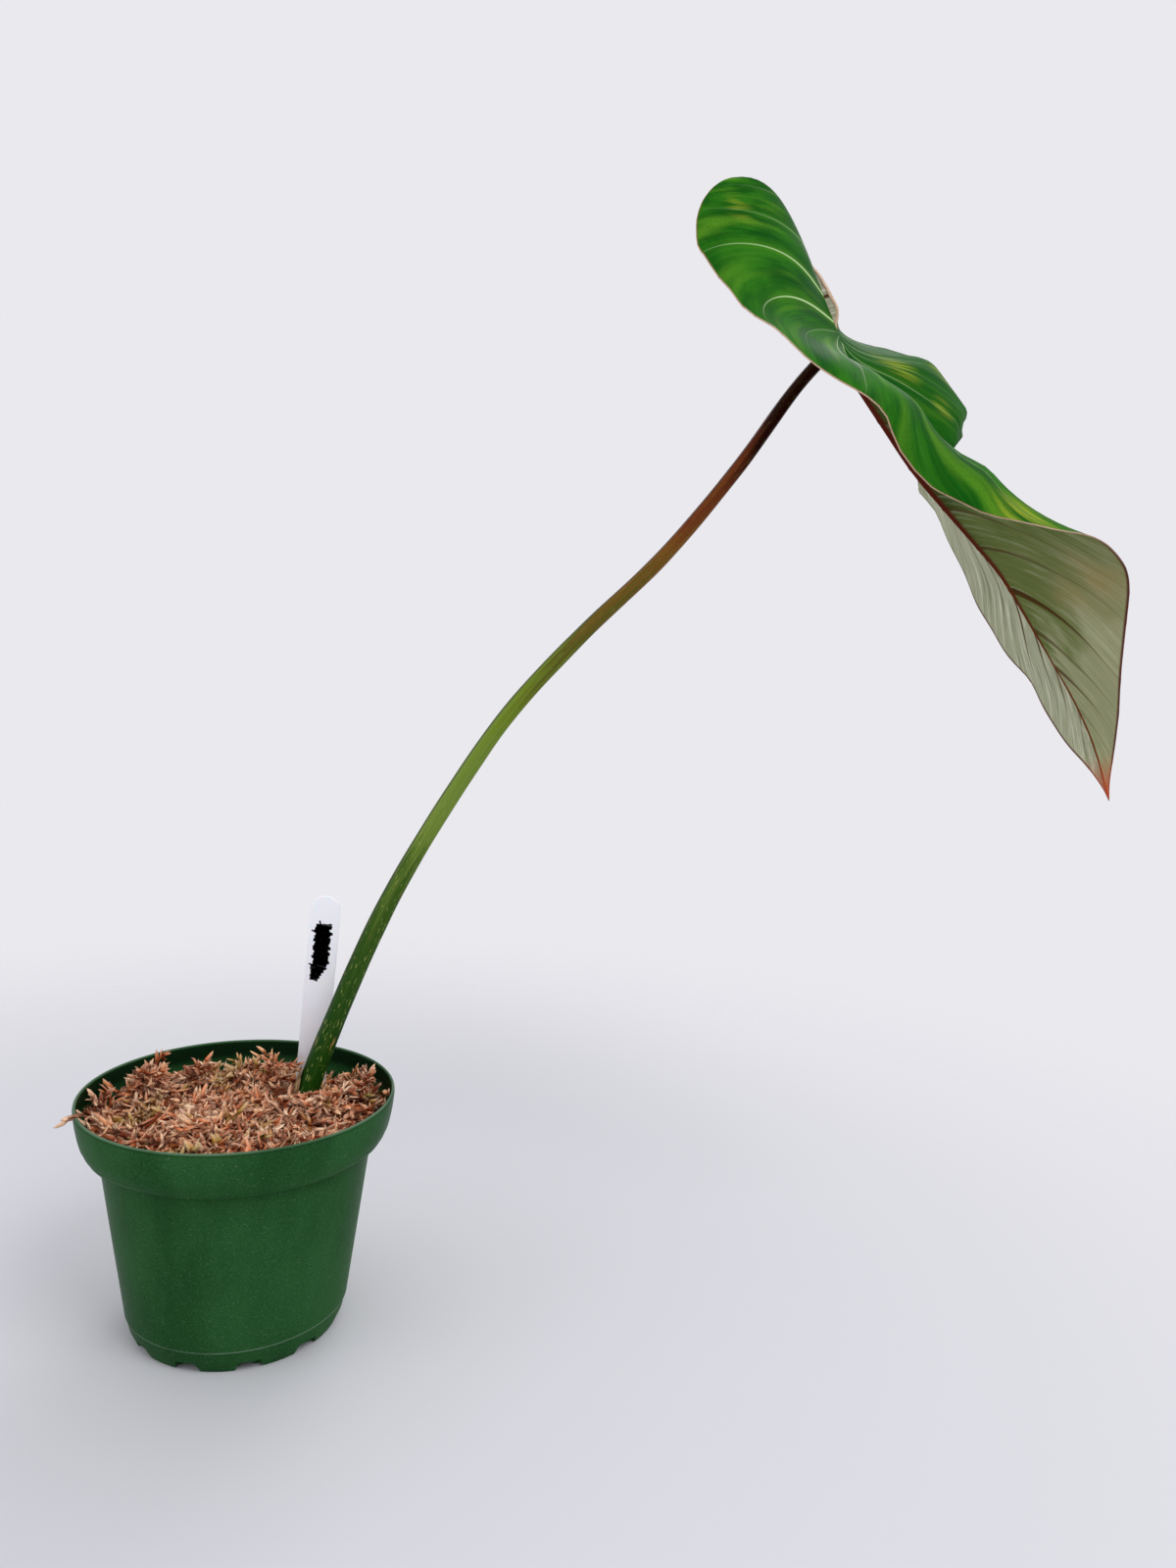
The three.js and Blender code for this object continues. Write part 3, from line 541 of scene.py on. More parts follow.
class ShaderTree(NodeTree):
    """A material's nodes. Its colours are laid one over the other."""

    def __init__(self, name: str, colour: Colour | None = None) -> None:
        """Start a material.

        Args:
            name: Name of the material.
            colour: The lowest colour, if it isn't set later.
        """
        self.material = bpy.data.materials.new(name)
        self.material.use_nodes = True
        super().__init__(self.material.node_tree)
        self.colour: object = colour

    def stored(self, name: str) -> Socket:
        """Read a value stored at the mesh's points."""
        return self.add("ShaderNodeAttribute", attribute_name=name).outputs["Fac"]

    def place(self) -> Socket:
        """Read the place on the piece, in metres."""
        return self.add("ShaderNodeTexCoord").outputs["Object"]

    def axes(self) -> list[Socket]:
        """Read the place on the piece as x, y and z."""
        return list(self.add("ShaderNodeSeparateXYZ", {0: self.place()}).outputs)

    def scaled(self, vector: object, factors: Point) -> Socket:
        """Stretch a vector along its axes."""
        return self.add("ShaderNodeVectorMath", {0: vector, 1: factors}, operation="MULTIPLY").outputs[0]

    def plus(self, first: object, second: object) -> Socket:
        """Add two values."""
        return self.maths("ADD", first, second)

    def minus(self, first: object, second: object) -> Socket:
        """Take the second value from the first."""
        return self.maths("SUBTRACT", first, second)

    def apart(self, first: object, second: object) -> Socket:
        """Find how far two values lie apart."""
        return self.maths("ABSOLUTE", self.minus(first, second))

    def diagonal(self, x: Socket, y: Socket) -> Socket:
        """Find the length of two legs at a right angle."""
        return self.maths("SQRT", self.plus(self.product(x, x), self.product(y, y)))

    def product(self, *factors: object) -> Socket:
        """Multiply two or more values."""
        return reduce(lambda first, second: self.maths("MULTIPLY", first, second), factors)

    def rise(self, value: object, low: float, high: float, start: float = 0.0, end: float = 1.0) -> Socket:
        """Go smoothly from start, where value is low or less, to end, where it is high or more."""
        inputs = {"Value": value, "From Min": low, "From Max": high, "To Min": start, "To Max": end}
        return self.add("ShaderNodeMapRange", inputs, interpolation_type="SMOOTHSTEP").outputs["Result"]

    def noise(self, vector: object, scale: float, detail: float = 2.0, roughness: float = 0.5) -> Socket:
        """Read a noise pattern, which is about 0.5 on average."""
        inputs = {"Vector": vector, "Scale": scale, "Detail": detail, "Roughness": roughness}
        return self.add("ShaderNodeTexNoise", inputs).outputs["Fac"]

    def mix(self, share: object, first: object, second: object) -> Socket:
        """Mix two colours, with a share of the second one."""
        return self.add("ShaderNodeMix", {0: share, 6: first, 7: second}, data_type="RGBA").outputs[2]

    def lay(self, share: object, colour: object) -> None:
        """Lay a share of a colour over what is there."""
        self.colour = self.mix(share, self.colour, colour)

    def ramp(self, value: object, stops: Sequence[tuple[float, Colour]]) -> Socket:
        """Turn a value into a colour.

        Args:
            value: What is read.
            stops: Places from 0 to 1 with their colours.

        Returns:
            The colour.
        """
        node = self.add("ShaderNodeValToRGB", {0: value})
        elements = node.color_ramp.elements
        while len(elements) < len(stops):
            elements.new(0.5)
        for element, (spot, colour) in zip(elements, stops):
            element.position = spot
            element.color = colour
        return node.outputs[0]

    def bump(self, height: object, strength: float, distance: float) -> Socket:
        """Make a relief that only the light sees, distance metres high at height 1."""
        inputs = {"Height": height, "Strength": strength, "Distance": distance}
        return self.add("ShaderNodeBump", inputs).outputs[0]

    def finish(self, **values: object) -> Material:
        """Feed the surface shader with the colour and more.

        Args:
            values: Its other inputs, with underscores for spaces.

        Returns:
            The material.
        """
        surface = self.tree.nodes["Principled BSDF"]
        for name, value in {"Base_Color": self.colour, **values}.items():
            self.feed(surface.inputs[name.replace("_", " ")], value)
        return self.material


class GeometryTree(NodeTree):
    """A geometry node tree that is used once and turned into a plain mesh."""

    def __init__(self, name: str) -> None:
        """Start a tree.

        Args:
            name: Name of the tree.
        """
        super().__init__(bpy.data.node_groups.new(name, "GeometryNodeTree"))
        self.tree.is_modifier = True
        for way in ("INPUT", "OUTPUT"):
            self.tree.interface.new_socket(name="Geometry", in_out=way, socket_type="NodeSocketGeometry")
        self.entry = self.add("NodeGroupInput")
        self.exit = self.add("NodeGroupOutput")
        self.identifiers: dict[str, str] = {}

    def size(self, name: str, kind: str = "NodeSocketFloat") -> Socket:
        """Add a named input.

        Args:
            name: Name of the input.
            kind: Its socket type.

        Returns:
            The socket that carries it inside the tree.
        """
        item = self.tree.interface.new_socket(name=name, in_out="INPUT", socket_type=kind)
        self.identifiers[name] = item.identifier
        return self.entry.outputs[name]

    def chance(self, low: object, high: object, seed: object) -> Socket:
        """Draw a value for each instance, evenly between low and high."""
        inputs = {2: low, 3: high, "Seed": seed}
        return self.add("FunctionNodeRandomValue", inputs, data_type="FLOAT").outputs[1]

    def finish(self, geometry: Socket, material: Material) -> None:
        """End the tree: make instances real and give them their material.

        Args:
            geometry: What the tree made.
            material: The material it gets.
        """
        real = self.add("GeometryNodeRealizeInstances", {"Geometry": geometry})
        dressed = self.add("GeometryNodeSetMaterial", {"Geometry": real.outputs[0], "Material": material})
        self.tree.links.new(dressed.outputs[0], self.exit.inputs[0])

    def bake(self, carrier: Piece, values: dict[str, object], name: str) -> Piece:
        """Run the tree on a carrier and keep the result as a plain mesh.

        Args:
            carrier: The object that the tree works on, which is removed.
            values: The named inputs' values.
            name: Name of the new piece.

        Returns:
            The new object.
        """
        modifier = carrier.modifiers.new(name, "NODES")
        modifier.node_group = self.tree
        for key, value in values.items():
            modifier[self.identifiers[key]] = value
        carrier.update_tag()
        bpy.context.view_layer.update()
        graph = bpy.context.evaluated_depsgraph_get()
        mesh = bpy.data.meshes.new_from_object(carrier.evaluated_get(graph), depsgraph=graph)
        mesh.name = name
        carrier.modifiers.remove(modifier)
        bpy.data.objects.remove(carrier)
        return added(name, mesh)


def declare(piece: Piece, slot: str, replaced: str | None = None) -> Piece:
    """Attach a finished piece to the frame's body, hide the CAD node it stands for, and log it.

    Args:
        piece: The finished piece.
        slot: The record's slot for its finish, which only goes into the log.
        replaced: The CAD node that it stands for.

    Returns:
        The same piece.
    """
    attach(piece, BODY)
    if replaced:
        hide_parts(replaced)
    LOG.info("%s: %d faces, slot %s", piece.name, len(piece.data.polygons), slot)
    return piece


@dataclass(frozen=True)
class Station:
    """How the leaf is bent at one distance from the hub, in millimetres and degrees."""

    at: float
    pitch: float
    yaw: float
    roll: float
    near_fold: float
    near_droop: float
    far_fold: float
    far_droop: float


LEAF_STATIONS = (
    Station(-95, -60, 0, -25, 10, 70, -40, -35),
    Station(-45, -65, 0, -25, 10, 50, -35, -20),
    Station(0, -65, 0, -15, -10, 5, 10, -5),
    Station(30, -55, -5, 0, 5, 45, 50, 35),
    Station(60, -55, -5, 10, 10, 70, 70, 55),
    Station(78, -50, 0, 10, 15, 95, 75, 75),
    Station(95, -45, 5, 10, 25, 120, 40, 35),
    Station(130, -45, 5, 20, 20, 110, 35, 5),
    Station(165, -55, 5, 30, 20, 70, 45, 40),
    Station(210, -55, 5, 45, -5, 0, 40, 0),
    Station(268, -70, 5, 45, 10, 0, -20, -5),
)


@dataclass
class LeafForm:
    """The flat heart and how it is bent, as in the part's source, in millimetres."""

    hub: Point = (288.2, 60.4, 503.1)
    length: float = 285
    half_width: float = 120
    lobe_length: float = 80
    lobe_spread: float = 65
    sinus_depth: float = 4
    sinus_share: float = 0.3
    widest_share: float = 0.42

    def __post_init__(self) -> None:
        """Set up the bending curves and trace the midrib."""
        places = [station.at for station in LEAF_STATIONS]
        names = ("pitch", "yaw", "roll", "near_fold", "near_droop", "far_fold", "far_droop")
        self.curves = {}
        for name in names:
            self.curves[name] = SmoothCurve(places, [getattr(station, name) for station in LEAF_STATIONS])
        ahead = int(self.length) + 2
        behind = int(self.lobe_length * 1.5) + 1
        forward = self.frame(np.arange(ahead) + 0.5)[0]
        backward = self.frame(-(np.arange(behind) + 0.5))[0]
        hub = np.array(self.hub)
        self.spine_places = np.arange(-behind, ahead + 1)
        self.spine = np.vstack([hub - np.cumsum(backward, 0)[::-1], hub, hub + np.cumsum(forward, 0)])

    def turned(self, name: str, place: Array) -> Array:
        """Read a bending curve in radians."""
        return np.radians(self.curves[name].at(place))

    def frame(self, place: Array) -> tuple[Array, Array, Array]:
        """Find the directions at places along the midrib.

        Args:
            place: Distances from the hub.

        Returns:
            Along the midrib, towards the near edge, and out of the upper face.
        """
        pitch = self.turned("pitch", place)
        yaw = self.turned("yaw", place)
        roll = self.turned("roll", place)[..., None]
        along = np.stack([np.cos(pitch) * np.cos(yaw), np.cos(pitch) * np.sin(yaw), np.sin(pitch)], -1)
        level = np.stack([np.sin(yaw), -np.cos(yaw), 0 * yaw], -1)
        upright = np.cross(level, along)
        near = np.cos(roll) * level + np.sin(roll) * upright
        out = np.cos(roll) * upright - np.sin(roll) * level
        return along, near, out

    def point(self, place: Array, reach: Array, side: Side) -> Array:
        """Bend a point of the flat heart into its place.

        Args:
            place: Distance along the midrib from the hub.
            reach: Distance beside it.
            side: Which half.

        Returns:
            The points in space.
        """
        half = side.name.lower()
        fold = self.turned(f"{half}_fold", place)
        droop = self.turned(f"{half}_droop", place)
        bend = np.where(np.abs(droop) < 1e-3, 1e-3, droop) / self.half_width
        outwards = (np.sin(fold) - np.sin(fold - bend * reach)) / bend
        upwards = (np.cos(fold - bend * reach) - np.cos(fold)) / bend
        _, near, out = self.frame(place)
        centre = np.stack([np.interp(place, self.spine_places, self.spine[:, k]) for k in range(3)], -1)
        return centre + near * (side.value * outwards)[..., None] + out * upwards[..., None]

    def normal(self, place: Array, reach: Array, side: Side) -> Array:
        """Find the direction out of the upper face.

        Args:
            place: Distance along the midrib from the hub.
            reach: Distance beside it.
            side: Which half.

        Returns:
            The normals, eased towards the middle one near the midrib.
        """
        step = 0.5
        held = np.maximum(reach, step)
        ahead = self.point(place + step, held, side) - self.point(place - step, held, side)
        beside = self.point(place, held + step, side) - self.point(place, held - step, side)
        slanted = unit(np.cross(beside, ahead)) * side.value
        share = smoothstep(0, 2.4, reach)[..., None]
        return unit(self.frame(place)[2] * (1 - share) + slanted * share)

    def outer_edge(self, share: Array) -> Array:
        """Walk the flat heart's outer edge, from the lobe's back to the tip.

        Args:
            share: From 0 at the lobe's back to 1 at the tip.

        Returns:
            Place and reach of each point.
        """
        share = np.asarray(share, float)
        lobe = self.lobe_length
        spread = self.lobe_spread
        wide = self.half_width
        shoulder = ((-lobe, spread), (-lobe, spread + 0.55 * (wide - spread)), (-0.6 * lobe, wide), (0, wide))
        flank = ((0, wide), (0.42 * self.length, wide), (0.76 * self.length, 14), (self.length, 0))
        first = bezier(shoulder, np.clip(share / self.widest_share, 0, 1))
        second = bezier(flank, np.clip((share - self.widest_share) / (1 - self.widest_share), 0, 1))
        return np.where((share <= self.widest_share)[..., None], first, second)

    def inner_edge(self, share: Array) -> Array:
        """Walk round the sinus and down the midrib.

        Args:
            share: From 0 at the lobe's back, past the hub, to 1 at the tip.

        Returns:
            Place and reach of each point.
        """
        share = np.asarray(share, float)
        lobe = self.lobe_length
        spread = self.lobe_spread
        depth = self.sinus_depth
        bay = ((-lobe, spread), (-lobe, 0.25 * spread), (-depth - 0.55 * lobe, 0.12 * spread), (-depth, 0))
        first = bezier(bay, np.clip(share / self.sinus_share, 0, 1))
        k = np.clip((share - self.sinus_share) / (1 - self.sinus_share), 0, 1)
        second = np.stack([-depth + (self.length + depth) * k, 0 * k], -1)
        return np.where((share <= self.sinus_share)[..., None], first, second)


@dataclass(frozen=True)
class Vein:
    """A main vein of each half: where it leaves the inner edge and meets the outer one, and how it shows."""

    start: float
    end: float
    hook: float
    pale_near: float
    pale_far: float
    dark_near: float
    dark_far: float
    ridge: float


VEINS = (
    Vein(0.10, 0.07, 3, 0.1, 0.1, 0.3, 0.3, 0.1),
    Vein(0.19, 0.165, 8, 0.25, 0.25, 0.5, 0.5, 0.25),
    Vein(0.255, 0.27, 16, 1.0, 0.7, 0.8, 0.8, 0.5),
    Vein(0.288, 0.42, 24, 1.0, 0.8, 0.9, 0.9, 0.6),
    Vein(0.30, 0.455, 12, 0.15, 0.2, 0.7, 0.7, 0.3),
    Vein(0.303, 0.49, -10, 0.7, 0.3, 0.7, 0.7, 0.4),
    Vein(0.307, 0.56, -3, 0.1, 0.15, 0.6, 0.6, 0.3),
    Vein(0.312, 0.646, 0, 1.2, 0.3, 0.9, 0.9, 0.7),
    Vein(0.42, 0.695, 0, 0.15, 0.25, 0.6, 0.9, 0.5),
    Vein(0.49, 0.725, 0, 0.15, 0.25, 0.5, 0.9, 0.6),
    Vein(0.555, 0.755, 0, 0.15, 0.25, 0.7, 0.8, 0.6),
    Vein(0.622, 0.785, 2, 0.15, 0.25, 0.8, 0.9, 0.8),
    Vein(0.69, 0.845, 5, 0.1, 0.2, 1.5, 1.5, 1.0),
    Vein(0.75, 0.885, 2, 0.1, 0.2, 0.8, 0.8, 0.6),
    Vein(0.806, 0.915, 0, 0.1, 0.15, 0.9, 0.6, 0.6),
    Vein(0.87, 0.945, 0, 0.05, 0.1, 0.4, 0.4, 0.3),
)
HUB_VEIN = 5


class LeafTree(ShaderTree):
    """A leaf material's nodes, with the values that are stored on the leaf."""

    def __init__(self, name: str, colour: Colour) -> None:
        """Start a material and read what its patterns follow.

        Args:
            name: Name of the material.
            colour: The lowest colour.
        """
        super().__init__(name, colour)
        self.row = self.stored("vein_row")
        self.run = self.stored("vein_run")
        self.gap = self.stored("row_gap")
        self.half = self.stored("half")
        self.along = self.stored("place")
        self.reach = self.stored("reach")
        self.edge = self.stored("edge")
        self.off_vein = self.apart(self.row, self.maths("ROUND", self.row))
        self.distance = self.product(self.off_vein, self.gap)

    def streaks(self, stretch: Point, detail: float, roughness: float, scale: float = 1.0) -> Socket:
        """Read noise stretched across the veins, along them and between the halves."""
        row, run, half = (self.product(*pair) for pair in zip((self.row, self.run, self.half), stretch))
        return self.noise(self.vector(row, run, half), scale, detail, roughness)

    def fibres(self, clouds: Socket, count: float) -> Socket:
        """Read fine waves between the veins, from -1 to 1."""
        return self.maths("SINE", self.product(self.plus(self.row, self.product(clouds, 0.12)), count))

    def line(self, width: Socket, start: float, end: float) -> Socket:
        """Read a line on each vein, 1 on it and 0 beside it."""
        return self.rise(self.maths("DIVIDE", self.distance, width), start, end, 1.0, 0.0)


@dataclass(frozen=True)
class LeafUpperFinish:
    """The leaf's upper face: satin green with yellow-green bands and pale veins, and painted shade on its far
    half.
    """

    deep: Colour = srgb(10, 72, 12)
    middle: Colour = srgb(40, 104, 20)
    light: Colour = srgb(92, 142, 34)
    vein: Colour = srgb(178, 206, 150)
    yellow: Colour = srgb(176, 184, 54)
    margin: Colour = srgb(120, 84, 58)
    spots: tuple[tuple[float, float, float, bool, float], ...] = (
        (-63, 73, 12, True, 0.25),
        (22, 44, 20, False, 0.55),
        (38, 96, 18, False, 0.45),
        (57, 50, 12, False, 0.45),
        (118, 84, 26, True, 0.55),
    )

    def build(self) -> Material:
        """Make the material.

        Returns:
            The material, which reads the leaf's stored values.
        """
        tree = LeafTree("leaf_upper", self.deep)
        pale = tree.stored("pale")
        clouds = tree.streaks((2.4, 2.2, 7.0), 3.0, 0.55)
        bands = tree.streaks((3.2, 1.8, 7.0), 1.0, 0.4)
        blotches = tree.streaks((6.0, 3.0, 7.0), 2.0, 0.5)
        tree.lay(tree.rise(clouds, 0.35, 0.65), self.middle)
        between = tree.rise(tree.off_vein, 0.08, 0.4)
        tree.lay(tree.product(between, tree.rise(bands, 0.46, 0.7), 0.5), self.light)
        inner = tree.rise(tree.run, 0.02, 0.5, 1.0, 0.0)
        tree.lay(tree.product(inner, tree.rise(tree.along, -20.0, 40.0, 0.85, 0.5)), self.deep)
        # Painted shade: the far half is darkened towards the deep green.
        tree.lay(tree.rise(tree.half, 0.3, 0.7, 0.6, 0.0), self.deep)
        fine = tree.fibres(clouds, 60.0)
        tree.lay(tree.rise(fine, 0.4, 1.0, 0.0, 0.06), self.light)
        tree.lay(tree.rise(tree.noise(tree.place(), 900.0), 0.45, 0.75, 0.0, 0.3), self.deep)
        for place, reach, spread, on_near, strength in self.spots:
            from_spot = tree.diagonal(tree.minus(tree.along, place), tree.minus(tree.reach, reach))
            on_side = tree.half if on_near else tree.minus(1.0, tree.half)
            shape = tree.rise(from_spot, 0.0, spread, strength, 0.0)
            tree.lay(tree.product(shape, on_side, tree.rise(blotches, 0.42, 0.6)), self.yellow)
        halo = tree.rise(tree.distance, 0.6, 4.0, 0.35, 0.0)
        tree.lay(tree.product(halo, pale, tree.rise(tree.gap, 2.0, 8.0)), self.light)
        width = tree.maths("MINIMUM", tree.rise(tree.run, 0.0, 0.8, 0.9, 0.45), tree.product(tree.gap, 0.1))
        line = tree.product(tree.line(width, 0.35, 1.1), pale, tree.rise(tree.gap, 1.0, 6.0, 0.6, 1.0))
        tree.lay(tree.maths("MINIMUM", line, 0.92), self.vein)
        tree.lay(tree.rise(tree.edge, 0.1, 0.9, 0.75, 0.0), self.margin)
        height = tree.minus(tree.product(fine, 0.35), tree.product(line, 1.2))
        normal = tree.bump(tree.product(height, tree.rise(tree.gap, 2.0, 12.0)), 0.35, 0.00012)
        rough = tree.rise(clouds, 0.3, 0.7, 0.38, 0.5)
        return tree.finish(Roughness=rough, Normal=normal, Specular_IOR_Level=0.005)


@dataclass(frozen=True)
class LeafUnderFinish:
    """The leaf's underside: matt olive to grey-green with brown veins and a red-brown midrib, over painted
    shade by the hub and in the streaks' hollows.
    """

    # Painted shade: the lowest colour, and the colour of the streaks' hollows.
    shade: Colour = srgb(62, 80, 34)
    olive: Colour = srgb(100, 112, 60)
    ochre: Colour = srgb(136, 140, 98)
    grey: Colour = srgb(164, 168, 138)
    dun: Colour = srgb(158, 160, 124)
    streak: Colour = srgb(212, 214, 190)
    vein: Colour = srgb(70, 46, 20)
    midrib: Colour = srgb(88, 32, 20)
    midrib_light: Colour = srgb(104, 58, 30)
    blush: Colour = srgb(170, 118, 40)
    margin: Colour = srgb(84, 40, 32)
    tip: Colour = srgb(176, 78, 48)
    blush_place: float = 172
    blush_reach: float = 38

    def build(self) -> Material:
        """Make the material.

        Returns:
            The material, which reads the leaf's stored values.
        """
        # The lowest colour is painted shade; it shows on the near half by the hub, where no olive is laid.
        tree = LeafTree("leaf_underside", self.shade)
        dark = tree.stored("dark")
        streaks = tree.streaks((8.0, 2.0, 7.0), 4.0, 0.6)
        clouds = tree.streaks((1.0, 2.0, 3.0), 2.0, 0.5, 1.3)
        shifted = tree.plus(tree.along, tree.rise(clouds, 0.3, 0.7, -14.0, 14.0))
        tree.lay(tree.rise(shifted, 92.0, 138.0), self.olive)
        tree.lay(tree.product(tree.rise(shifted, 128.0, 176.0), tree.rise(tree.reach, 8.0, 34.0)), self.ochre)
        tree.lay(tree.rise(shifted, 180.0, 210.0, 0.0, 0.75), self.dun)
        tree.lay(tree.rise(tree.half, 0.2, 0.8, 0.9, 0.0), self.grey)
        streaked = tree.rise(tree.half, 0.2, 0.8, 0.85, 0.16)
        tree.lay(tree.product(tree.rise(streaks, 0.48, 0.7), streaked), self.streak)
        # Painted shade in the low parts of the streak relief, stronger on the near half.
        hollow_shade = tree.rise(streaks, 0.32, 0.46, 0.5, 0.0)
        tree.lay(tree.product(hollow_shade, tree.rise(tree.half, 0.2, 0.8, 1.0, 0.35)), self.shade)
        beside_blush = tree.apart(tree.reach, self.blush_reach)
        from_blush = tree.plus(tree.apart(tree.along, self.blush_place), beside_blush)
        blush = tree.product(tree.rise(from_blush, 2.0, 34.0, 0.24, 0.0), tree.half)
        tree.lay(tree.product(blush, tree.rise(clouds, 0.35, 0.6, 0.3, 1.0)), self.blush)
        fine = tree.fibres(clouds, 88.0)
        tree.lay(tree.rise(fine, 0.3, 1.0, 0.0, 0.09), self.vein)
        broad = tree.maths("MULTIPLY_ADD", dark, 0.5, 0.5)
        width = tree.product(tree.rise(tree.run, 0.0, 0.9, 1.3, 0.6), broad)
        line = tree.product(tree.line(width, 0.3, 1.2), dark, tree.rise(tree.half, 0.2, 0.8, 1.3, 0.9))
        tree.lay(tree.maths("MINIMUM", line, 0.95), self.vein)
        cord = tree.mix(tree.rise(tree.along, 90.0, 240.0), self.midrib, self.midrib_light)
        tree.lay(tree.rise(tree.stored("rib"), 0.15, 0.6), cord)
        rim = tree.rise(tree.edge, 0.7, 2.4, 0.95, 0.0)
        tree.lay(tree.product(rim, tree.rise(tree.along, 110.0, 180.0, 0.35, 1.0)), self.margin)
        tree.lay(tree.rise(tree.along, 256.0, 282.0, 0.0, 0.85), self.tip)
        height = tree.plus(tree.product(fine, 0.4), tree.product(streaks, 0.6))
        normal = tree.bump(tree.product(height, tree.rise(tree.gap, 2.0, 12.0)), 0.5, 0.00015)
        return tree.finish(Roughness=0.55, Normal=normal, Specular_IOR_Level=0.02)


@dataclass(frozen=True)
class LeafMarginFinish:
    """The leaf's rim: pinkish tan by the hub, red-brown towards the tip."""

    tan: Colour = srgb(196, 168, 140)
    brown: Colour = srgb(96, 44, 34)
    tip: Colour = srgb(166, 66, 42)

    def build(self) -> Material:
        """Make the material.

        Returns:
            The material, which reads the leaf's stored values.
        """
        tree = ShaderTree("leaf_margin", self.tan)
        place = tree.stored("place")
        tree.lay(tree.rise(place, 120.0, 175.0), self.brown)
        tree.lay(tree.rise(place, 250.0, 280.0), self.tip)
        tree.lay(tree.rise(tree.noise(tree.place(), 600.0), 0.5, 0.7, 0.0, 0.35), self.brown)
        return tree.finish(Roughness=0.55)


@dataclass
class LeafBlade:
    """The leaf blade with its midrib and veins, as one closed skin. Sizes are in millimetres."""

    form: LeafForm = field(default_factory=LeafForm)
    thickness: float = 0.62
    midrib_depth: float = 3.0
    midrib_half_width: float = 2.8
    vein_offsets: tuple[float, ...] = (-1.3, -0.55, 0.0, 0.55, 1.3)
    rows_between: int = 5
    cord_columns: tuple[float, ...] = (0.35, 0.7, 0.92, 1.05, 1.5)
    margin_columns: tuple[float, ...] = (3.2, 1.6, 0.8, 0.35)
    middle_columns: int = 27
    vein_ridge: float = 0.42
    vein_groove: float = 0.22
    vein_half_width: float = 0.75
    quilt_height: float = 0.5
    slow_wave: Span = (0.8, 6.5)
    quick_wave: Span = (0.45, 15)
    lobe_peek: float = 4.5
    peek_spans: tuple[Span, Span] = ((-58, -34), (-16, -5))
    edge_tuck: Point = (5.0, 0.0, 1.0)
    tuck_spans: tuple[Span, Span] = ((74, 88), (90, 106))
    tuck_reach: Span = (58, 84)

    def __post_init__(self) -> None:
        """Set up the curves that place the veins."""
        self.last = len(VEINS) + 1
        curves = []
        for name, end in (("start", 1.0), ("end", 1.0), ("hook", 0.0)):
            values = [0.0] + [getattr(vein, name) for vein in VEINS] + [end]
            curves.append(SmoothCurve(np.arange(len(values)), values))
        self.starts, self.ends, self.hooks = curves

    def ends_of(self, row: Array) -> tuple[Array, Array]:
        """Find where veins start, at the inner edge, and where they end."""
        return self.form.inner_edge(self.starts.at(row)), self.form.outer_edge(self.ends.at(row))

    def flat(self, row: Array, run: Array) -> Array:
        """Find a point of the flat heart from its vein.

        Args:
            row: Number of the vein, with shares between veins.
            run: From 0 at the inner edge to 1 at the outer one.

        Returns:
            Place and reach.
        """
        start, end = self.ends_of(row)
        span = end - start
        hook = self.hooks.at(row) * smoothstep(0, 60, np.linalg.norm(span, axis=-1))
        back = np.stack([hook, 0 * hook], -1)
        lower = start + span * (0.22, 0.36) - 0.4 * back
        upper = start + span * (0.55, 0.78) - back
        return bezier((start, lower, upper, end), run)

    def gap(self, row: Array, run: Array) -> Array:
        """Measure how far apart neighbouring veins lie.

        Args:
            row: Number of the vein.
            run: Share along it.

        Returns:
            Distance across the veins for one step of the vein number.
        """
        step = 0.004
        across = self.flat(row + step, run) - self.flat(row - step, run)
        along = unit(self.flat(row, np.minimum(run + step, 1)) - self.flat(row, np.maximum(run - step, 0)))
        return np.abs(across[..., 0] * along[..., 1] - across[..., 1] * along[..., 0]) / (2 * step)

    def cord_width(self, place: Array) -> Array:
        """Half width of the midrib at a place."""
        length = np.clip(1 - place / self.form.length, 0, 1)
        return 0.55 + (self.midrib_half_width - 0.55) * length**2.6

    def columns(self, row: Array) -> Array:
        """Choose where the mesh's columns lie on each row.

        Args:
            row: Numbers of the rows.

        Returns:
            The share along each row, with a column for each entry.
        """
        start, end = self.ends_of(row)
        length = np.maximum(np.linalg.norm(end - start, axis=-1), 1e-3)
        cord = self.cord_width(start[..., 0])
        inner = [np.zeros(len(row))]
        for i, width in enumerate(self.cord_columns):
            inner.append(np.minimum(width * cord / length, 0.035 * (i + 1)))
        outer = [np.ones(len(row))]
        for i, width in enumerate(reversed(self.margin_columns)):
            outer.insert(0, 1 - np.minimum(width / (0.9 * length), 0.04 * (i + 1)))
        shares = np.linspace(0, 1, self.middle_columns + 1)[1:-1]
        middle = [inner[-1] + (outer[0] - inner[-1]) * share for share in shares]
        return np.stack(inner + middle + outer, axis=1)

    def grid(self) -> tuple[Array, Array]:
        """Lay out the mesh of one half, with a few rows close together on each vein.

        Returns:
            The vein number and the share along it for each row and column.
        """
        pairs = [(float(number), offset) for number in range(1, self.last) for offset in self.vein_offsets]
        listed = np.array([(0.0, 0.0)] + pairs)
        run = self.columns(listed[:, 0])
        spread = self.gap(np.repeat(listed[:, :1], run.shape[1], 1), run)
        shift = np.clip(listed[:, 1:] / np.maximum(spread, 1e-3), -0.28, 0.28)
        row = np.vstack([listed[:, :1] + shift, np.full((1, run.shape[1]), float(self.last))])
        numbers = np.append(listed[:, 0], self.last)
        rows = [row[0]]
        for i in range(1, len(row)):
            between = 0 if numbers[i] == numbers[i - 1] else self.rows_between
            for k in range(between + 1):
                rows.append(row[i - 1] + (row[i] - row[i - 1]) * (k + 1) / (between + 1))
        full = np.array(rows)
        return full, self.columns(full.mean(axis=1))

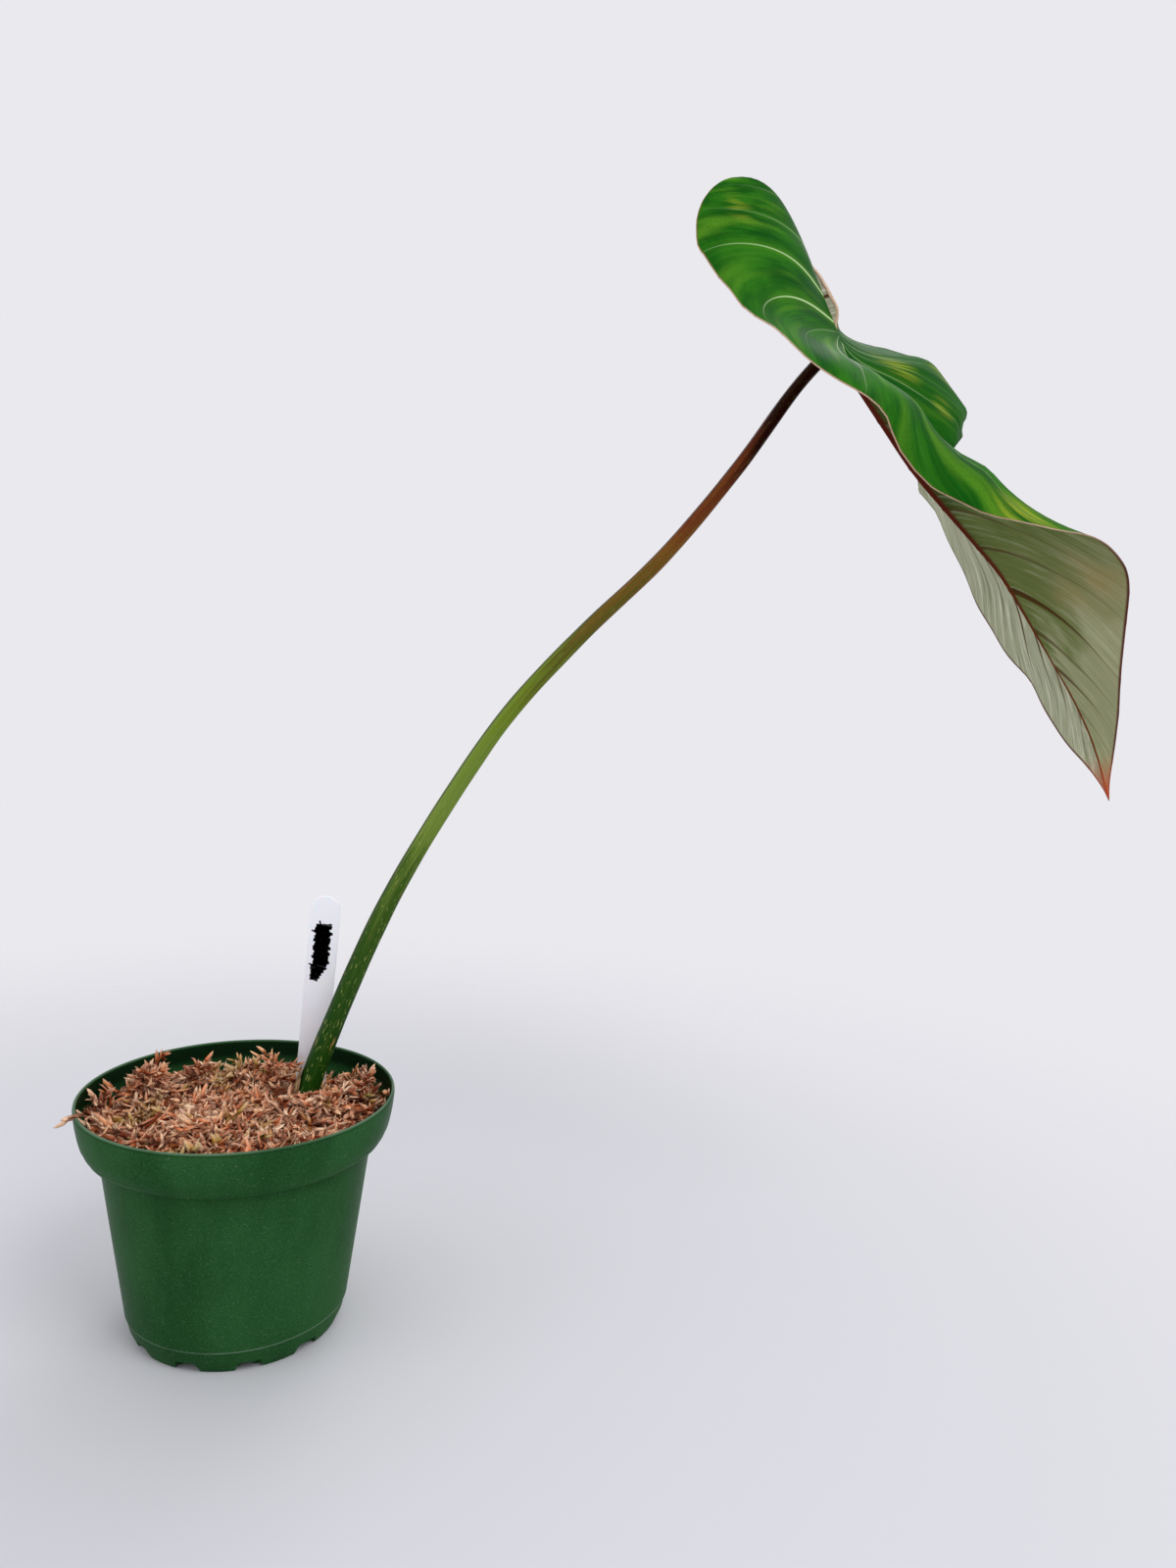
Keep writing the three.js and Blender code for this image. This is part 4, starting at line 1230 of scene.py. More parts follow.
    def skin(self, row: Array, run: Array, side: Side) -> dict[str, Array]:
        """Work out both faces of one half and the values stored on them.

        Args:
            row: Vein numbers.
            run: Shares along the veins.
            side: Which half.

        Returns:
            Arrays by name; top and bottom hold the points.
        """
        flat = self.flat(row, run)
        place = flat[..., 0]
        reach = np.maximum(flat[..., 1], 0)
        gap = np.maximum(self.gap(row, run), 0.5)
        near = side is Side.NEAR
        number = np.clip(np.round(row).astype(int) - 1, 0, len(VEINS) - 1)
        names = ("pale_near" if near else "pale_far", "dark_near" if near else "dark_far", "ridge")
        pale, dark, ridge = (np.array([getattr(vein, name) for vein in VEINS])[number] for name in names)
        apart = np.abs(row - np.round(row)) * gap
        cord = self.cord_width(place)
        towards = smoothstep(-14, -2, place)
        rib = np.sqrt(np.clip(1 - (reach / cord) ** 2, 0, 1)) * towards
        bay = np.linalg.norm(flat - self.ends_of(row)[0], axis=-1)
        lobe = (row < HUB_VEIN).astype(float)
        lobe_width = 0.5 + 1.1 * smoothstep(-70, -4, place)
        bay_rib = np.sqrt(np.clip(1 - (bay / (2 * lobe_width)) ** 2, 0, 1))
        bay_rib = bay_rib * lobe * smoothstep(-60, -20, place)
        depth = (0.35 + self.midrib_depth * np.clip(1 - place / self.form.length, 0, 1) ** 2) * rib
        depth = depth + 0.9 * bay_rib + 0.5 * np.exp(-((reach / (1.7 * cord)) ** 2)) * towards
        vein_line = np.exp(-((apart / self.vein_half_width) ** 2)) * ridge * np.clip(1 - run, 0, 1) ** 0.5
        depth = depth + self.vein_ridge * vein_line
        quilt = np.sin(math.pi * (row - np.floor(row))) ** 2 * np.minimum(0.02 * gap, self.quilt_height)
        quilt = quilt * smoothstep(0, 0.15, run) * smoothstep(0, 0.12, 1 - run)
        end_share = self.ends.at(row)
        (slow, slow_count), (quick, quick_count) = self.slow_wave, self.quick_wave
        ruffle = slow * np.sin(TURN * slow_count * end_share + side.value)
        ruffle = ruffle + quick * np.sin(TURN * quick_count * end_share)
        ruffle = ruffle * smoothstep(0.72, 1, run) * hump(end_share, (0.02, 0.12), (0.94, 1))
        centre = self.form.point(place, reach, side)
        normal = self.form.normal(place, reach, side)
        centre = centre + normal * (quilt + ruffle)[..., None]
        if not near:
            peek = hump(place, *self.peek_spans) * (1 - smoothstep(0, 26, bay)) * lobe
            centre = centre + self.form.frame(place)[2] * (self.lobe_peek * peek)[..., None]
            tuck = smoothstep(*self.tuck_reach, reach) * hump(place, *self.tuck_spans)
            centre = centre + np.array(self.edge_tuck) * tuck[..., None]
        groove = self.vein_groove * vein_line + 0.35 * np.exp(-((reach / 1.2) ** 2)) * towards
        top = centre + normal * (self.thickness / 2 - groove * 0.6)[..., None]
        bottom = centre - normal * (self.thickness / 2 + depth)[..., None]
        outer_distance = np.linalg.norm(self.form.outer_edge(end_share) - flat, axis=-1)
        edge = np.where(row < HUB_VEIN, np.minimum(outer_distance, bay), outer_distance)
        return {
            "top": top,
            "bottom": bottom,
            "place": place,
            "reach": reach,
            "vein_row": row,
            "vein_run": run,
            "row_gap": gap,
            "pale": pale * np.clip(1.15 - run * 1.1, 0, 1),
            "dark": dark * np.clip(1.2 - run, 0, 1),
            "rib": np.maximum(rib, bay_rib * 0.8),
            "edge": edge,
            "half": np.full(row.shape, 1.0 if near else 0.0),
        }

    def joined_halves(self, row: Array, run: Array) -> tuple[dict[str, Array], list[Face]]:
        """Join the two halves into one sheet of triangles.

        Args:
            row: Vein numbers.
            run: Shares along the veins.

        Returns:
            The values of each point by name, and the upper face's triangles.
        """
        high, wide = row.shape
        halves = {side: self.skin(row, run, side) for side in Side}
        index: dict[tuple[int, int, int], int] = {}
        picked: list[tuple[Side, int, int]] = []

        def number_of(i: int, k: int, side: Side) -> int:
            """Number the point of a row and column, shared where the halves or a row's columns meet.

            Args:
                i: Row of the grid.
                k: Column of the grid.
                side: Which half.

            Returns:
                The point's number in the sheet.
            """
            if i in (0, high - 1):
                k = 0
            if k == 0 and i > 0 and abs(row[i, 0] - row[i - 1, 0]) < 1e-6:
                i -= 1
            shared = i == high - 1 or (k == 0 and row[i, 0] >= HUB_VEIN - 1e-6)
            key = (i, k, 0 if shared else side.value)
            if key not in index:
                index[key] = len(picked)
                picked.append((side, i, k))
            return index[key]

        quads: list[list[int]] = []
        for side in Side:
            for i in range(high - 1):
                for k in range(wide - 1):
                    spots = ((i, k), (i, k + 1), (i + 1, k + 1), (i + 1, k))
                    corners = list(dict.fromkeys(number_of(*spot, side) for spot in spots))
                    quads.append(corners if side is Side.NEAR else corners[::-1])
        sheet = {}
        for name in halves[Side.NEAR]:
            sheet[name] = np.array([halves[side][name][i, k] for side, i, k in picked])
        upper: list[Face] = []
        for corners in quads:
            if len(corners) == 4:
                first, second, third, fourth = sheet["top"][corners]
                if np.linalg.norm(first - third) > np.linalg.norm(second - fourth):
                    corners = corners[1:] + corners[:1]
                upper.append((corners[0], corners[2], corners[3]))
            if len(corners) > 2:
                upper.append(tuple(corners[:3]))
        return sheet, upper

    def build(self) -> Piece:
        """Make the leaf: its upper face, its underside and the rim between them.

        Returns:
            The leaf's object.
        """
        sheet, upper = self.joined_halves(*self.grid())
        top = sheet.pop("top")
        bottom = sheet.pop("bottom")
        count = len(top)
        lower = [tuple(number + count for number in face[::-1]) for face in upper]
        edges = {pair: face for face in upper for pair in zip(face, face[1:] + face[:1])}
        rim_edges = [(pair, face) for pair, face in edges.items() if pair[::-1] not in edges]
        middle = (top + bottom) / 2
        outward: dict[int, Array] = {}
        for (a, b), face in rim_edges:
            away = unit((middle[a] + middle[b]) / 2 - middle[list(face)].mean(axis=0))
            outward[a] = outward.get(a, 0) + away
            outward[b] = outward.get(b, 0) + away
        rim_numbers = {number: 2 * count + i for i, number in enumerate(outward)}
        rim_points = middle[list(outward)] + unit(np.array(list(outward.values()))) * 0.3 * self.thickness
        rim = []
        for (a, b), _ in rim_edges:
            rim.append((b, a, rim_numbers[a], rim_numbers[b]))
            rim.append((rim_numbers[b], rim_numbers[a], a + count, b + count))
        picks = list(range(count)) * 2 + list(outward)
        values = {name: stored[picks] for name, stored in sheet.items()}
        slots = [0] * len(upper) + [1] * len(lower) + [2] * len(rim)
        patch = Patch(np.vstack([top, bottom, rim_points]), upper + lower + rim, values, slots)
        finishes = [LeafUpperFinish().build(), LeafUnderFinish().build(), LeafMarginFinish().build()]
        return declare(patch.build("leaf", finishes), "leaf", "leaf_blade")


@dataclass(frozen=True)
class StalkFinish:
    """The leaf stalk: dark streaked green at its foot, bright green, then maroon at its top, with painted
    shade along its channel.
    """

    foot: Colour = srgb(24, 62, 10)
    lower: Colour = srgb(52, 82, 18)
    green: Colour = srgb(104, 128, 48)
    middle: Colour = srgb(102, 124, 30)
    olive: Colour = srgb(84, 82, 22)
    brown: Colour = srgb(124, 82, 26)
    maroon: Colour = srgb(116, 52, 20)
    dark: Colour = srgb(40, 8, 6)
    streak: Colour = srgb(150, 160, 84)
    scar: Colour = srgb(168, 128, 78)
    # Where round the stalk the painted shade of its channel lies.
    channel_place: float = 0.76

    def build(self) -> Material:
        """Make the material.

        Returns:
            The material, which reads how far along the stalk a point is.
        """
        tree = ShaderTree("stalk")
        along = tree.stored("along")
        around = tree.stored("around")
        turn = tree.product(around, TURN)
        ring = tree.vector(tree.maths("SINE", turn), tree.maths("COSINE", turn), tree.product(along, 3.0))
        streaks = tree.noise(tree.scaled(ring, (6.0, 6.0, 1.5)), 1.0, 4.0, 0.65)
        clouds = tree.noise(tree.scaled(ring, (1.4, 1.4, 3.0)), 1.0)
        shifted = tree.plus(along, tree.rise(clouds, 0.3, 0.7, -0.05, 0.05))
        places = (0.1, 0.25, 0.33, 0.42, 0.5, 0.6, 0.7, 0.79, 0.89)
        colours = (self.foot, self.lower, self.green, self.green, self.middle)
        colours += (self.olive, self.brown, self.maroon, self.dark)
        tree.colour = tree.ramp(shifted, list(zip(places, colours)))
        upper = tree.product(tree.rise(along, 0.16, 0.32, 0.1, 1.0), tree.rise(along, 0.3, 0.85, 1.0, 0.12))
        tree.lay(tree.product(tree.rise(streaks, 0.54, 0.72, 0.0, 0.55), upper), self.streak)
        scars = tree.noise(tree.scaled(ring, (3.0, 3.0, 14.0)), 1.0)
        tree.lay(tree.product(tree.rise(scars, 0.66, 0.72), tree.rise(along, 0.1, 0.45, 0.8, 0.1)), self.scar)
        dashes = tree.noise(tree.scaled(ring, (7.0, 7.0, 40.0)), 1.0, 1.0)
        dashes = tree.product(tree.rise(dashes, 0.62, 0.7), tree.rise(along, 0.05, 0.5, 0.7, 0.15))
        tree.lay(dashes, self.streak)
        depth = tree.mix(along, self.foot, self.dark)
        tree.lay(tree.rise(streaks, 0.28, 0.45, 0.45, 0.0), depth)
        # Painted shade: a dark line along the stalk's channel, which the mesh has no groove for.
        tree.lay(tree.rise(tree.apart(around, self.channel_place), 0.02, 0.09, 0.6, 0.0), depth)
        return tree.finish(Roughness=0.36, Normal=tree.bump(streaks, 0.3, 0.0002), Specular_IOR_Level=0.08)


@dataclass(frozen=True)
class SheathFinish:
    """Dry sheath: papery tan with brown fibres."""

    tan: Colour = srgb(176, 148, 104)
    brown: Colour = srgb(104, 74, 46)

    def build(self) -> Material:
        """Make the material.

        Returns:
            The material, with fibres that run up the stalk.
        """
        tree = ShaderTree("dry_sheath", self.brown)
        fibres = tree.noise(tree.scaled(tree.place(), (900.0, 900.0, 90.0)), 1.0, 3.0, 0.6)
        tree.lay(tree.rise(fibres, 0.4, 0.62), self.tan)
        return tree.finish(Roughness=0.8, Normal=tree.bump(fibres, 0.6, 0.0003))


@dataclass
class Stalk:
    """The leaf stalk and the dry sheath at its foot. Sizes are in millimetres."""

    path: tuple[Point, ...] = (
        (24.5, 26, 98), (37, 29, 135.5), (68, 35, 210.5), (110, 40, 284), (129.5, 42.5, 312),
        (162, 46, 349), (201.5, 49, 389.5), (238, 53, 436), (267.5, 57.6, 479.5), (285.6, 59.8, 500.7),
    )
    foot_radius: float = 5.9
    middle_radius: float = 4.5
    top_radius: float = 3.1
    middle_share: float = 0.35
    sides: int = 28
    steps: int = 150
    sheath_height: float = 18
    sheath_gap: float = 0.7
    sheath_thickness: float = 0.6
    sheath_arc: float = 80
    sheath_rows: int = 18
    sheath_columns: int = 26
    sheath_side: Point = (-1.0, -0.35, 0.0)

    def build_stalk(self) -> Piece:
        """Make the stalk with faint ridges along it.

        Returns:
            The stalk's object.
        """
        path = path_through(self.path, self.steps)
        share = np.linspace(0, 1, self.steps)
        sizes = (self.foot_radius, self.middle_radius, self.top_radius)
        radii = np.interp(share, (0, self.middle_share, 1), sizes)
        radii = radii * (1 + 0.012 * np.sin(share * 37) + 0.008 * np.sin(share * 91 + 1))
        radii = radii + 0.5 * np.exp(-(((share - 1) / 0.02) ** 2))
        patch = swept_tube(path, radii, self.sides)
        axis = np.vstack([np.repeat(path, self.sides, axis=0), path[:1], path[-1:]])
        ridges = 0.12 * np.sin(patch.values["around"] * TURN * 7 + 3 * patch.values["along"])
        patch.points = patch.points + unit(patch.points - axis) * ridges[:, None]
        return declare(patch.build("stalk", [StalkFinish().build()], 60), "petiole", "petiole")

    def build_sheath(self) -> Piece:
        """Make the strip of dry sheath with its frayed top.

        Returns:
            The sheath's object.
        """
        foot = np.array(self.path[0])
        along = unit(np.array(self.path[1]) - foot)
        start = foot + along * 5
        side = np.array(self.sheath_side)
        side = unit(side - along * side.dot(along))
        across = np.cross(along, side)
        inner = self.foot_radius + self.sheath_gap
        share = np.linspace(0, 1, self.sheath_rows + 1)[:, None]
        spot = np.linspace(-1, 1, self.sheath_columns + 1)[None, :]
        fray = 1 - 0.14 * np.abs(np.sin(spot * 9.0)) - 0.08 * np.abs(np.sin(spot * 23.0 + 1))
        angle = math.radians(self.sheath_arc / 2) * (1 - 0.85 * share**2) * spot
        height = self.sheath_height * share * (1 - (1 - fray) * share**2)
        layers = []
        for thickness in (self.sheath_thickness, 0.0):
            radius = inner + thickness * (1 - 0.6 * share**2) + 0.8 * share**2
            radius = radius + 0.18 * np.sin(spot * 14 + share * 2)
            points = start + along * height[..., None] + side * (radius * np.cos(angle))[..., None]
            layers.append((points + across * (radius * np.sin(angle))[..., None]).reshape(-1, 3))
        patch = Patch(np.vstack(layers), shell_faces(self.sheath_rows, self.sheath_columns))
        return declare(patch.build("sheath", [SheathFinish().build()], 50), "sheath", "dry_sheath")


@dataclass(frozen=True)
class PotFinish:
    """Moulded green plastic, satin, with scuffs, dusty specks, painted highlights on its rim and foot step,
    and painted shade on its inner wall.
    """

    green: Colour = srgb(28, 69, 33)
    light: Colour = srgb(40, 84, 43)
    # Colour of the dusty specks and scuffs, and of the painted highlights on the rim and foot step.
    dust_and_highlight: Colour = srgb(110, 132, 112)
    # Colour of the dark specks, and of the painted shade on the inner wall.
    inside: Colour = srgb(5, 18, 7)
    # Heights of the painted highlight lines at the foot step and on the rim top, in metres.
    foot_line: float = 0.0115
    rim_line: tuple[float, float] = (0.1164, 0.1172)

    def build(self) -> Material:
        """Make the material.

        Returns:
            The material, with patterns in the pot's own place.
        """
        tree = ShaderTree("pot_plastic", self.green)
        place = tree.place()
        x, y, z = tree.axes()
        clouds = tree.noise(tree.scaled(place, (1.0, 1.0, 0.5)), 26.0, 3.0, 0.55)
        speckle = tree.noise(place, 1500.0, 2.0, 0.6)
        flow = tree.noise(tree.scaled(place, (1.0, 1.0, 0.12)), 240.0)
        scuffs = tree.noise(tree.scaled(place, (1.0, 1.0, 4.0)), 90.0, 4.0, 0.7)
        tree.lay(tree.rise(clouds, 0.35, 0.7), self.light)
        tree.lay(tree.rise(flow, 0.5, 0.75, 0.0, 0.18), self.light)
        tree.lay(tree.rise(speckle, 0.58, 0.74, 0.0, 0.4), self.dust_and_highlight)
        tree.lay(tree.rise(speckle, 0.28, 0.42, 0.5, 0.0), self.inside)
        # Painted highlights: a pale line along the foot step and a pale rim top, mottled by the clouds.
        foot = tree.rise(tree.apart(z, self.foot_line), 0.0001, 0.0007, 0.6, 0.0)
        rim_and_step_highlight = tree.maths("MAXIMUM", foot, tree.rise(z, *self.rim_line, 0.0, 0.55))
        tree.lay(tree.product(rim_and_step_highlight, tree.rise(clouds, 0.3, 0.6, 0.4, 1.0)), self.dust_and_highlight)
        tree.lay(tree.rise(scuffs, 0.66, 0.78, 0.0, 0.35), self.dust_and_highlight)
        # Painted shade on the inner face of the wall, from the moss up to the rim.
        from_wall = tree.minus(tree.diagonal(x, y), tree.maths("MULTIPLY_ADD", z, 0.256, 0.0464))
        painted_inner_shade = tree.product(tree.rise(from_wall, -0.0003, 0.0003, 0.85, 0.0), tree.rise(z, 0.09, 0.096))
        tree.lay(tree.product(painted_inner_shade, tree.rise(z, 0.116, 0.1168, 1.0, 0.0)), self.inside)
        normal = tree.bump(tree.plus(speckle, flow), 0.4, 0.0002)
        rough = tree.rise(clouds, 0.3, 0.7, 0.3, 0.42)
        return tree.finish(Roughness=rough, Normal=normal, Specular_IOR_Level=0.02)


@dataclass
class NurseryPot:
    """The moulded nursery pot with its feet and drain slots. Sizes are in millimetres."""

    sectors: int = 240
    floor_top: float = 6.6
    foot_count: int = 11
    first_foot: float = 275
    notch_height: float = 4.8
    notch_top: float = 10
    notch_bottom: float = 13.5
    slot_width: float = 7
    slot_inner: float = 37
    slot_outer: float = 46
    profile: tuple[Span, ...] = (
        (7.6, 0.0), (8.0, 0.4), (8.4, 5.0), (45.9, 5.0), (46.3, 4.6), (46.6, 0.3), (46.9, 0.0),
        (49.4, 0.0), (49.8, 0.3), (51.2, 3.2), (52.2, 5.6), (53.15, 10.5), (53.3, 10.85), (53.7, 11.1),
        (53.9, 11.4), (53.97, 12.0), (56.6, 31.0), (59.4, 51.0), (62.2, 71.5), (65.25, 93.6), (65.5, 94.0),
        (70.3, 94.25), (70.7, 94.5), (70.9, 95.0), (72.0, 96.8), (72.25, 97.0), (72.2, 97.3), (73.6, 100.0),
        (74.25, 102.4), (74.8, 105.0), (75.45, 108.6), (75.9, 112.0), (76.15, 114.4), (76.2, 115.9),
        (76.05, 116.8), (75.7, 117.3), (75.3, 117.4), (74.9, 117.2), (74.65, 116.6), (74.6, 112.0),
        (74.1, 108.4), (73.5, 105.0), (71.9, 100.0), (70.1, 97.0), (64.4, 95.9), (63.9, 95.2),
        (52.7, 12.0), (48.9, 7.1), (48.3, 6.6),
    )

    def body(self) -> Patch:
        """Turn the profile round the pot's axis.

        Returns:
            The closed body, before its feet and slots are cut.
        """
        angles = np.linspace(0, TURN, self.sectors, endpoint=False)
        radius, height = np.array(self.profile).T[..., None]
        points = np.stack([radius * np.cos(angles), radius * np.sin(angles), height + 0 * angles], axis=-1)
        points = np.vstack([points.reshape(-1, 3), [(0, 0, 0), (0, 0, self.floor_top)]])
        return Patch(points, fanned_faces(len(self.profile), self.sectors))

    def cutter(self) -> Piece:
        """Make the tool that cuts one notch between two feet and the drain slot behind it.

        Returns:
            The tool's object, on the positive X axis.
        """
        slot = self.slot_width
        shapes = (
            (self.notch_bottom, -1, self.notch_top, self.notch_height, 46.1, 60),
            (slot, 4, slot, self.floor_top + 0.6, self.slot_inner, self.slot_outer - 0.3),
        )
        tools = []
        for bottom, low, top, high, start, end in shapes:
            corners = ((-bottom / 2, low), (bottom / 2, low), (top / 2, high), (-top / 2, high))
            points = np.array([(x, y, z) for x in (start, end) for y, z in corners], float)
            tools.append(Patch(points, block_faces(2, 4)))
        return tools[0].joined(tools[1]).build("pot_cutter")

    def build(self) -> Piece:
        """Make the pot; a geometry node tree sets the cutters round it and cuts them out.

        Returns:
            The pot's object.
        """
        carrier = self.body().build("pot_body")
        cutter = self.cutter()
        tree = GeometryTree("pot_feet")
        count = tree.size("Feet", "NodeSocketInt")
        first = tree.size("First angle")
        tool = tree.add("GeometryNodeObjectInfo", {"Object": cutter})
        circle = tree.add("GeometryNodeMeshCircle", {"Vertices": count, "Radius": 0.001})
        share = tree.maths("DIVIDE", tree.add("GeometryNodeInputIndex").outputs[0], count)
        turn = tree.vector(0.0, 0.0, tree.maths("MULTIPLY_ADD", share, TURN, first))
        centre = tree.add("GeometryNodeSetPosition", {"Geometry": circle.outputs[0], "Position": (0, 0, 0)})
        inputs = {"Points": centre.outputs[0], "Instance": tool.outputs["Geometry"], "Rotation": turn}
        ring = tree.add("GeometryNodeInstanceOnPoints", inputs)
        tools = tree.add("GeometryNodeRealizeInstances", {"Geometry": ring.outputs[0]})
        inputs = {0: tree.entry.outputs["Geometry"], 1: tools.outputs[0]}
        cut = tree.add("GeometryNodeMeshBoolean", inputs, operation="DIFFERENCE")
        tree.finish(cut.outputs[0], PotFinish().build())
        between = math.radians(self.first_foot + 180 / self.foot_count)
        piece = tree.bake(carrier, {"Feet": self.foot_count, "First angle": between}, "nursery_pot")
        bpy.data.objects.remove(cutter)
        piece.data.shade_smooth()
        piece.data.set_sharp_from_angle(angle=math.radians(24))
        return declare(piece, "pot", "pot")


@dataclass(frozen=True)
class LabelFinish:
    """White plastic label, a little translucent."""

    white: Colour = srgb(238, 242, 250)
    lower_brown: Colour = srgb(150, 132, 112)

    def build(self) -> Material:
        """Make the material.

        Returns:
            The material, browner and darker towards the moss.
        """
        tree = ShaderTree("label_plastic", self.white)
        place = tree.place()
        mottle = tree.noise(place, 300.0, 4.0, 0.6)
        # Browner and darker towards the moss, in blotches.
        towards_moss = tree.rise(tree.axes()[2], 0.102, 0.128, 0.7, 0.0)
        tree.lay(tree.product(towards_moss, tree.rise(mottle, 0.4, 0.6)), self.lower_brown)
        normal = tree.bump(tree.noise(tree.scaled(place, (1.0, 1.0, 0.2)), 700.0), 0.2, 0.0001)
        return tree.finish(Roughness=0.42, Normal=normal, Subsurface_Weight=0.15, Subsurface_Scale=0.002)


@dataclass(frozen=True)
class InkFinish:
    """Black felt-tip ink."""

    ink: Colour = srgb(22, 22, 26)
    thin: Colour = srgb(60, 60, 68)

    def build(self) -> Material:
        """Make the material.

        Returns:
            The material, thinner in places.
        """
        tree = ShaderTree("label_ink", self.ink)
        tree.lay(tree.rise(tree.noise(tree.place(), 500.0, 3.0, 0.6), 0.5, 0.75), self.thin)
        return tree.finish(Roughness=0.5)


@dataclass
class PlantLabel:
    """The plant label and the scribble on it. Sizes are in millimetres."""

    width: float = 15.9
    length: float = 127
    thickness: float = 0.9
    point_length: float = 16
    bevel: float = 0.18
    top: Point = (32.2, 45, 207)
    lean: float = 4.2

    def outline(self, inset: float) -> Array:
        """Draw the label's outline.

        Args:
            inset: How far inside the full outline it runs.

        Returns:
            Its points in the label's own plane, from the top, with y up.
        """
        half = self.width / 2 - inset
        angles = np.linspace(0, math.pi, 33)
        arc = np.stack([half * np.cos(angles), half * np.sin(angles) - self.width / 2], -1)
        shoulder = -self.length + self.point_length + 0.3 * inset
        return np.vstack([arc, [(-half, shoulder), (0, -self.length + inset * 1.6), (half, shoulder)]])

    def placed(self, points: Array) -> Array:
        """Move points from the label's plane into the pot.

        Args:
            points: Across, up and towards the camera's side.

        Returns:
            The points in the row frame.
        """
        lean = math.radians(self.lean)
        x = points[:, 0] * math.cos(lean) + points[:, 1] * math.sin(lean)
        z = points[:, 1] * math.cos(lean) - points[:, 0] * math.sin(lean)
        return np.stack([x, -points[:, 2], z], -1) + np.array(self.top)

    def build_label(self) -> Piece:
        """Make the label with softened edges.

        Returns:
            The label's object.
        """
        half = self.thickness / 2
        loops = ((self.bevel, -half), (0.0, -half + self.bevel), (0.0, half - self.bevel), (self.bevel, half))
        outlines = [(self.outline(inset), depth) for inset, depth in loops]
        points = [np.column_stack([outline, np.full(len(outline), depth)]) for outline, depth in outlines]
        patch = Patch(self.placed(np.vstack(points)), block_faces(len(points), len(points[0])))
        return declare(patch.build("plant_label_body", [LabelFinish().build()], 40), "label", "plant_label")

    def build_ink(self) -> Piece:
        """Make the scribble: a dense zigzag with a looser tail, which spells nothing.

        Returns:
            The ink's object.
        """
        zigzag = []
        for i, y in enumerate(np.linspace(-15.5, -38.0, 30)):
            zigzag.append((-4.9 + 0.5 * math.sin(i * 2.1) if i % 2 else 4.2 + 0.7 * math.sin(i * 1.3), y))
        tail = [(-5.4 + (9.0 - 0.5 * i) * (i % 2), -38.4 - 0.8 * i) for i in range(10)]
        strokes = (
            (zigzag, 1.0),
            (((-2.5, -13.5), (-1.8, -15.5), (0.4, -17.6)), 0.5),
            (((-6.3, -19.0), (-2.0, -20.4), (2.4, -20.9), (5.0, -20.2)), 0.5),
            (((-6.4, -37.2), (-1.5, -38.4), (3.4, -39.2)), 0.5),
            (tail, 1.0),
        )
        ribbons = [self.ribbon(np.array(line), half_width) for line, half_width in strokes]
        patch = reduce(Patch.joined, ribbons)
        patch.points = self.placed(patch.points)
        return declare(patch.build("label_scribble", [InkFinish().build()], 50), "label")

    def ribbon(self, line: Array, half_width: float) -> Patch:
        """Make one flat stroke of ink that stands a little proud of the label's face.

        Args:
            line: The stroke's corners in the label's plane.
            half_width: Half the width of the stroke.

        Returns:
            The stroke as a closed strip.
        """
        length = walked(line)[-1]
        count = max(8, int(length / 0.7))
        fine = spaced(line, count)
        fine[1:-1] = (fine[:-2] + 2 * fine[1:-1] + fine[2:]) / 4
        along = unit(np.gradient(fine, axis=0))
        across = np.stack([-along[:, 1], along[:, 0]], -1)
        width = half_width * (0.85 + 0.15 * np.sin(np.linspace(0, length, count) * 1.9))[:, None]
        grid = np.stack([fine + across * width, fine - across * width], axis=1)
        layers = []
        for depth in (self.thickness / 2 - 0.02, self.thickness / 2 + 0.05):
            layers.append(np.concatenate([grid, np.full((count, 2, 1), depth)], axis=-1).reshape(-1, 3))
        return Patch(np.vstack(layers), [face[::-1] for face in shell_faces(count - 1, 1)])


@dataclass(frozen=True)
class MossFinish:
    """Dried long-fibre moss: pinkish tan, with yellow-green and dark strands, painted highlights at the scale
    tips and painted shade at their bases.
    """

    tan: Colour = srgb(204, 112, 66)
    salmon: Colour = srgb(232, 140, 92)
    pale: Colour = srgb(250, 186, 134)
    # Whitish pink: a strand tint, and the painted highlight at the scale tips.
    white: Colour = srgb(255, 218, 184)
    green: Colour = srgb(170, 150, 62)
    brown: Colour = srgb(108, 40, 18)

    def build(self) -> Material:
        """Make the material.

        Returns:
            The material, which reads each strand's own tint.
        """
        tree = ShaderTree("moss_strand")
        tip = tree.stored("tip")
        place = tree.place()
        colours = (self.brown, self.tan, self.salmon, self.pale, self.white, self.tan, self.green)
        places = (0.0, 0.2, 0.45, 0.62, 0.82, 0.9, 1.0)
        tree.colour = tree.ramp(tree.stored("tint"), list(zip(places, colours)))
        tree.lay(tree.rise(tree.noise(place, 36.0), 0.56, 0.68, 0.0, 0.75), self.green)
        # Painted highlight: the ends of the scale leaves are whitened.
        tree.lay(tree.rise(tip, 0.35, 1.0, 0.0, 0.65), self.white)
        # Painted shade: the stem and the bases of the scale leaves are browned.
        tree.lay(tree.rise(tip, 0.0, 0.5, 0.7, 0.0), self.brown)
        tree.lay(tree.rise(tree.noise(place, 130.0), 0.34, 0.5, 0.7, 0.0), self.brown)
        cells = tree.noise(place, 1400.0, 2.0, 0.6)
        tree.lay(tree.rise(cells, 0.45, 0.7, 0.0, 0.25), self.brown)
        return tree.finish(Roughness=0.7, Normal=tree.bump(cells, 0.7, 0.0004), Specular_IOR_Level=0.1)


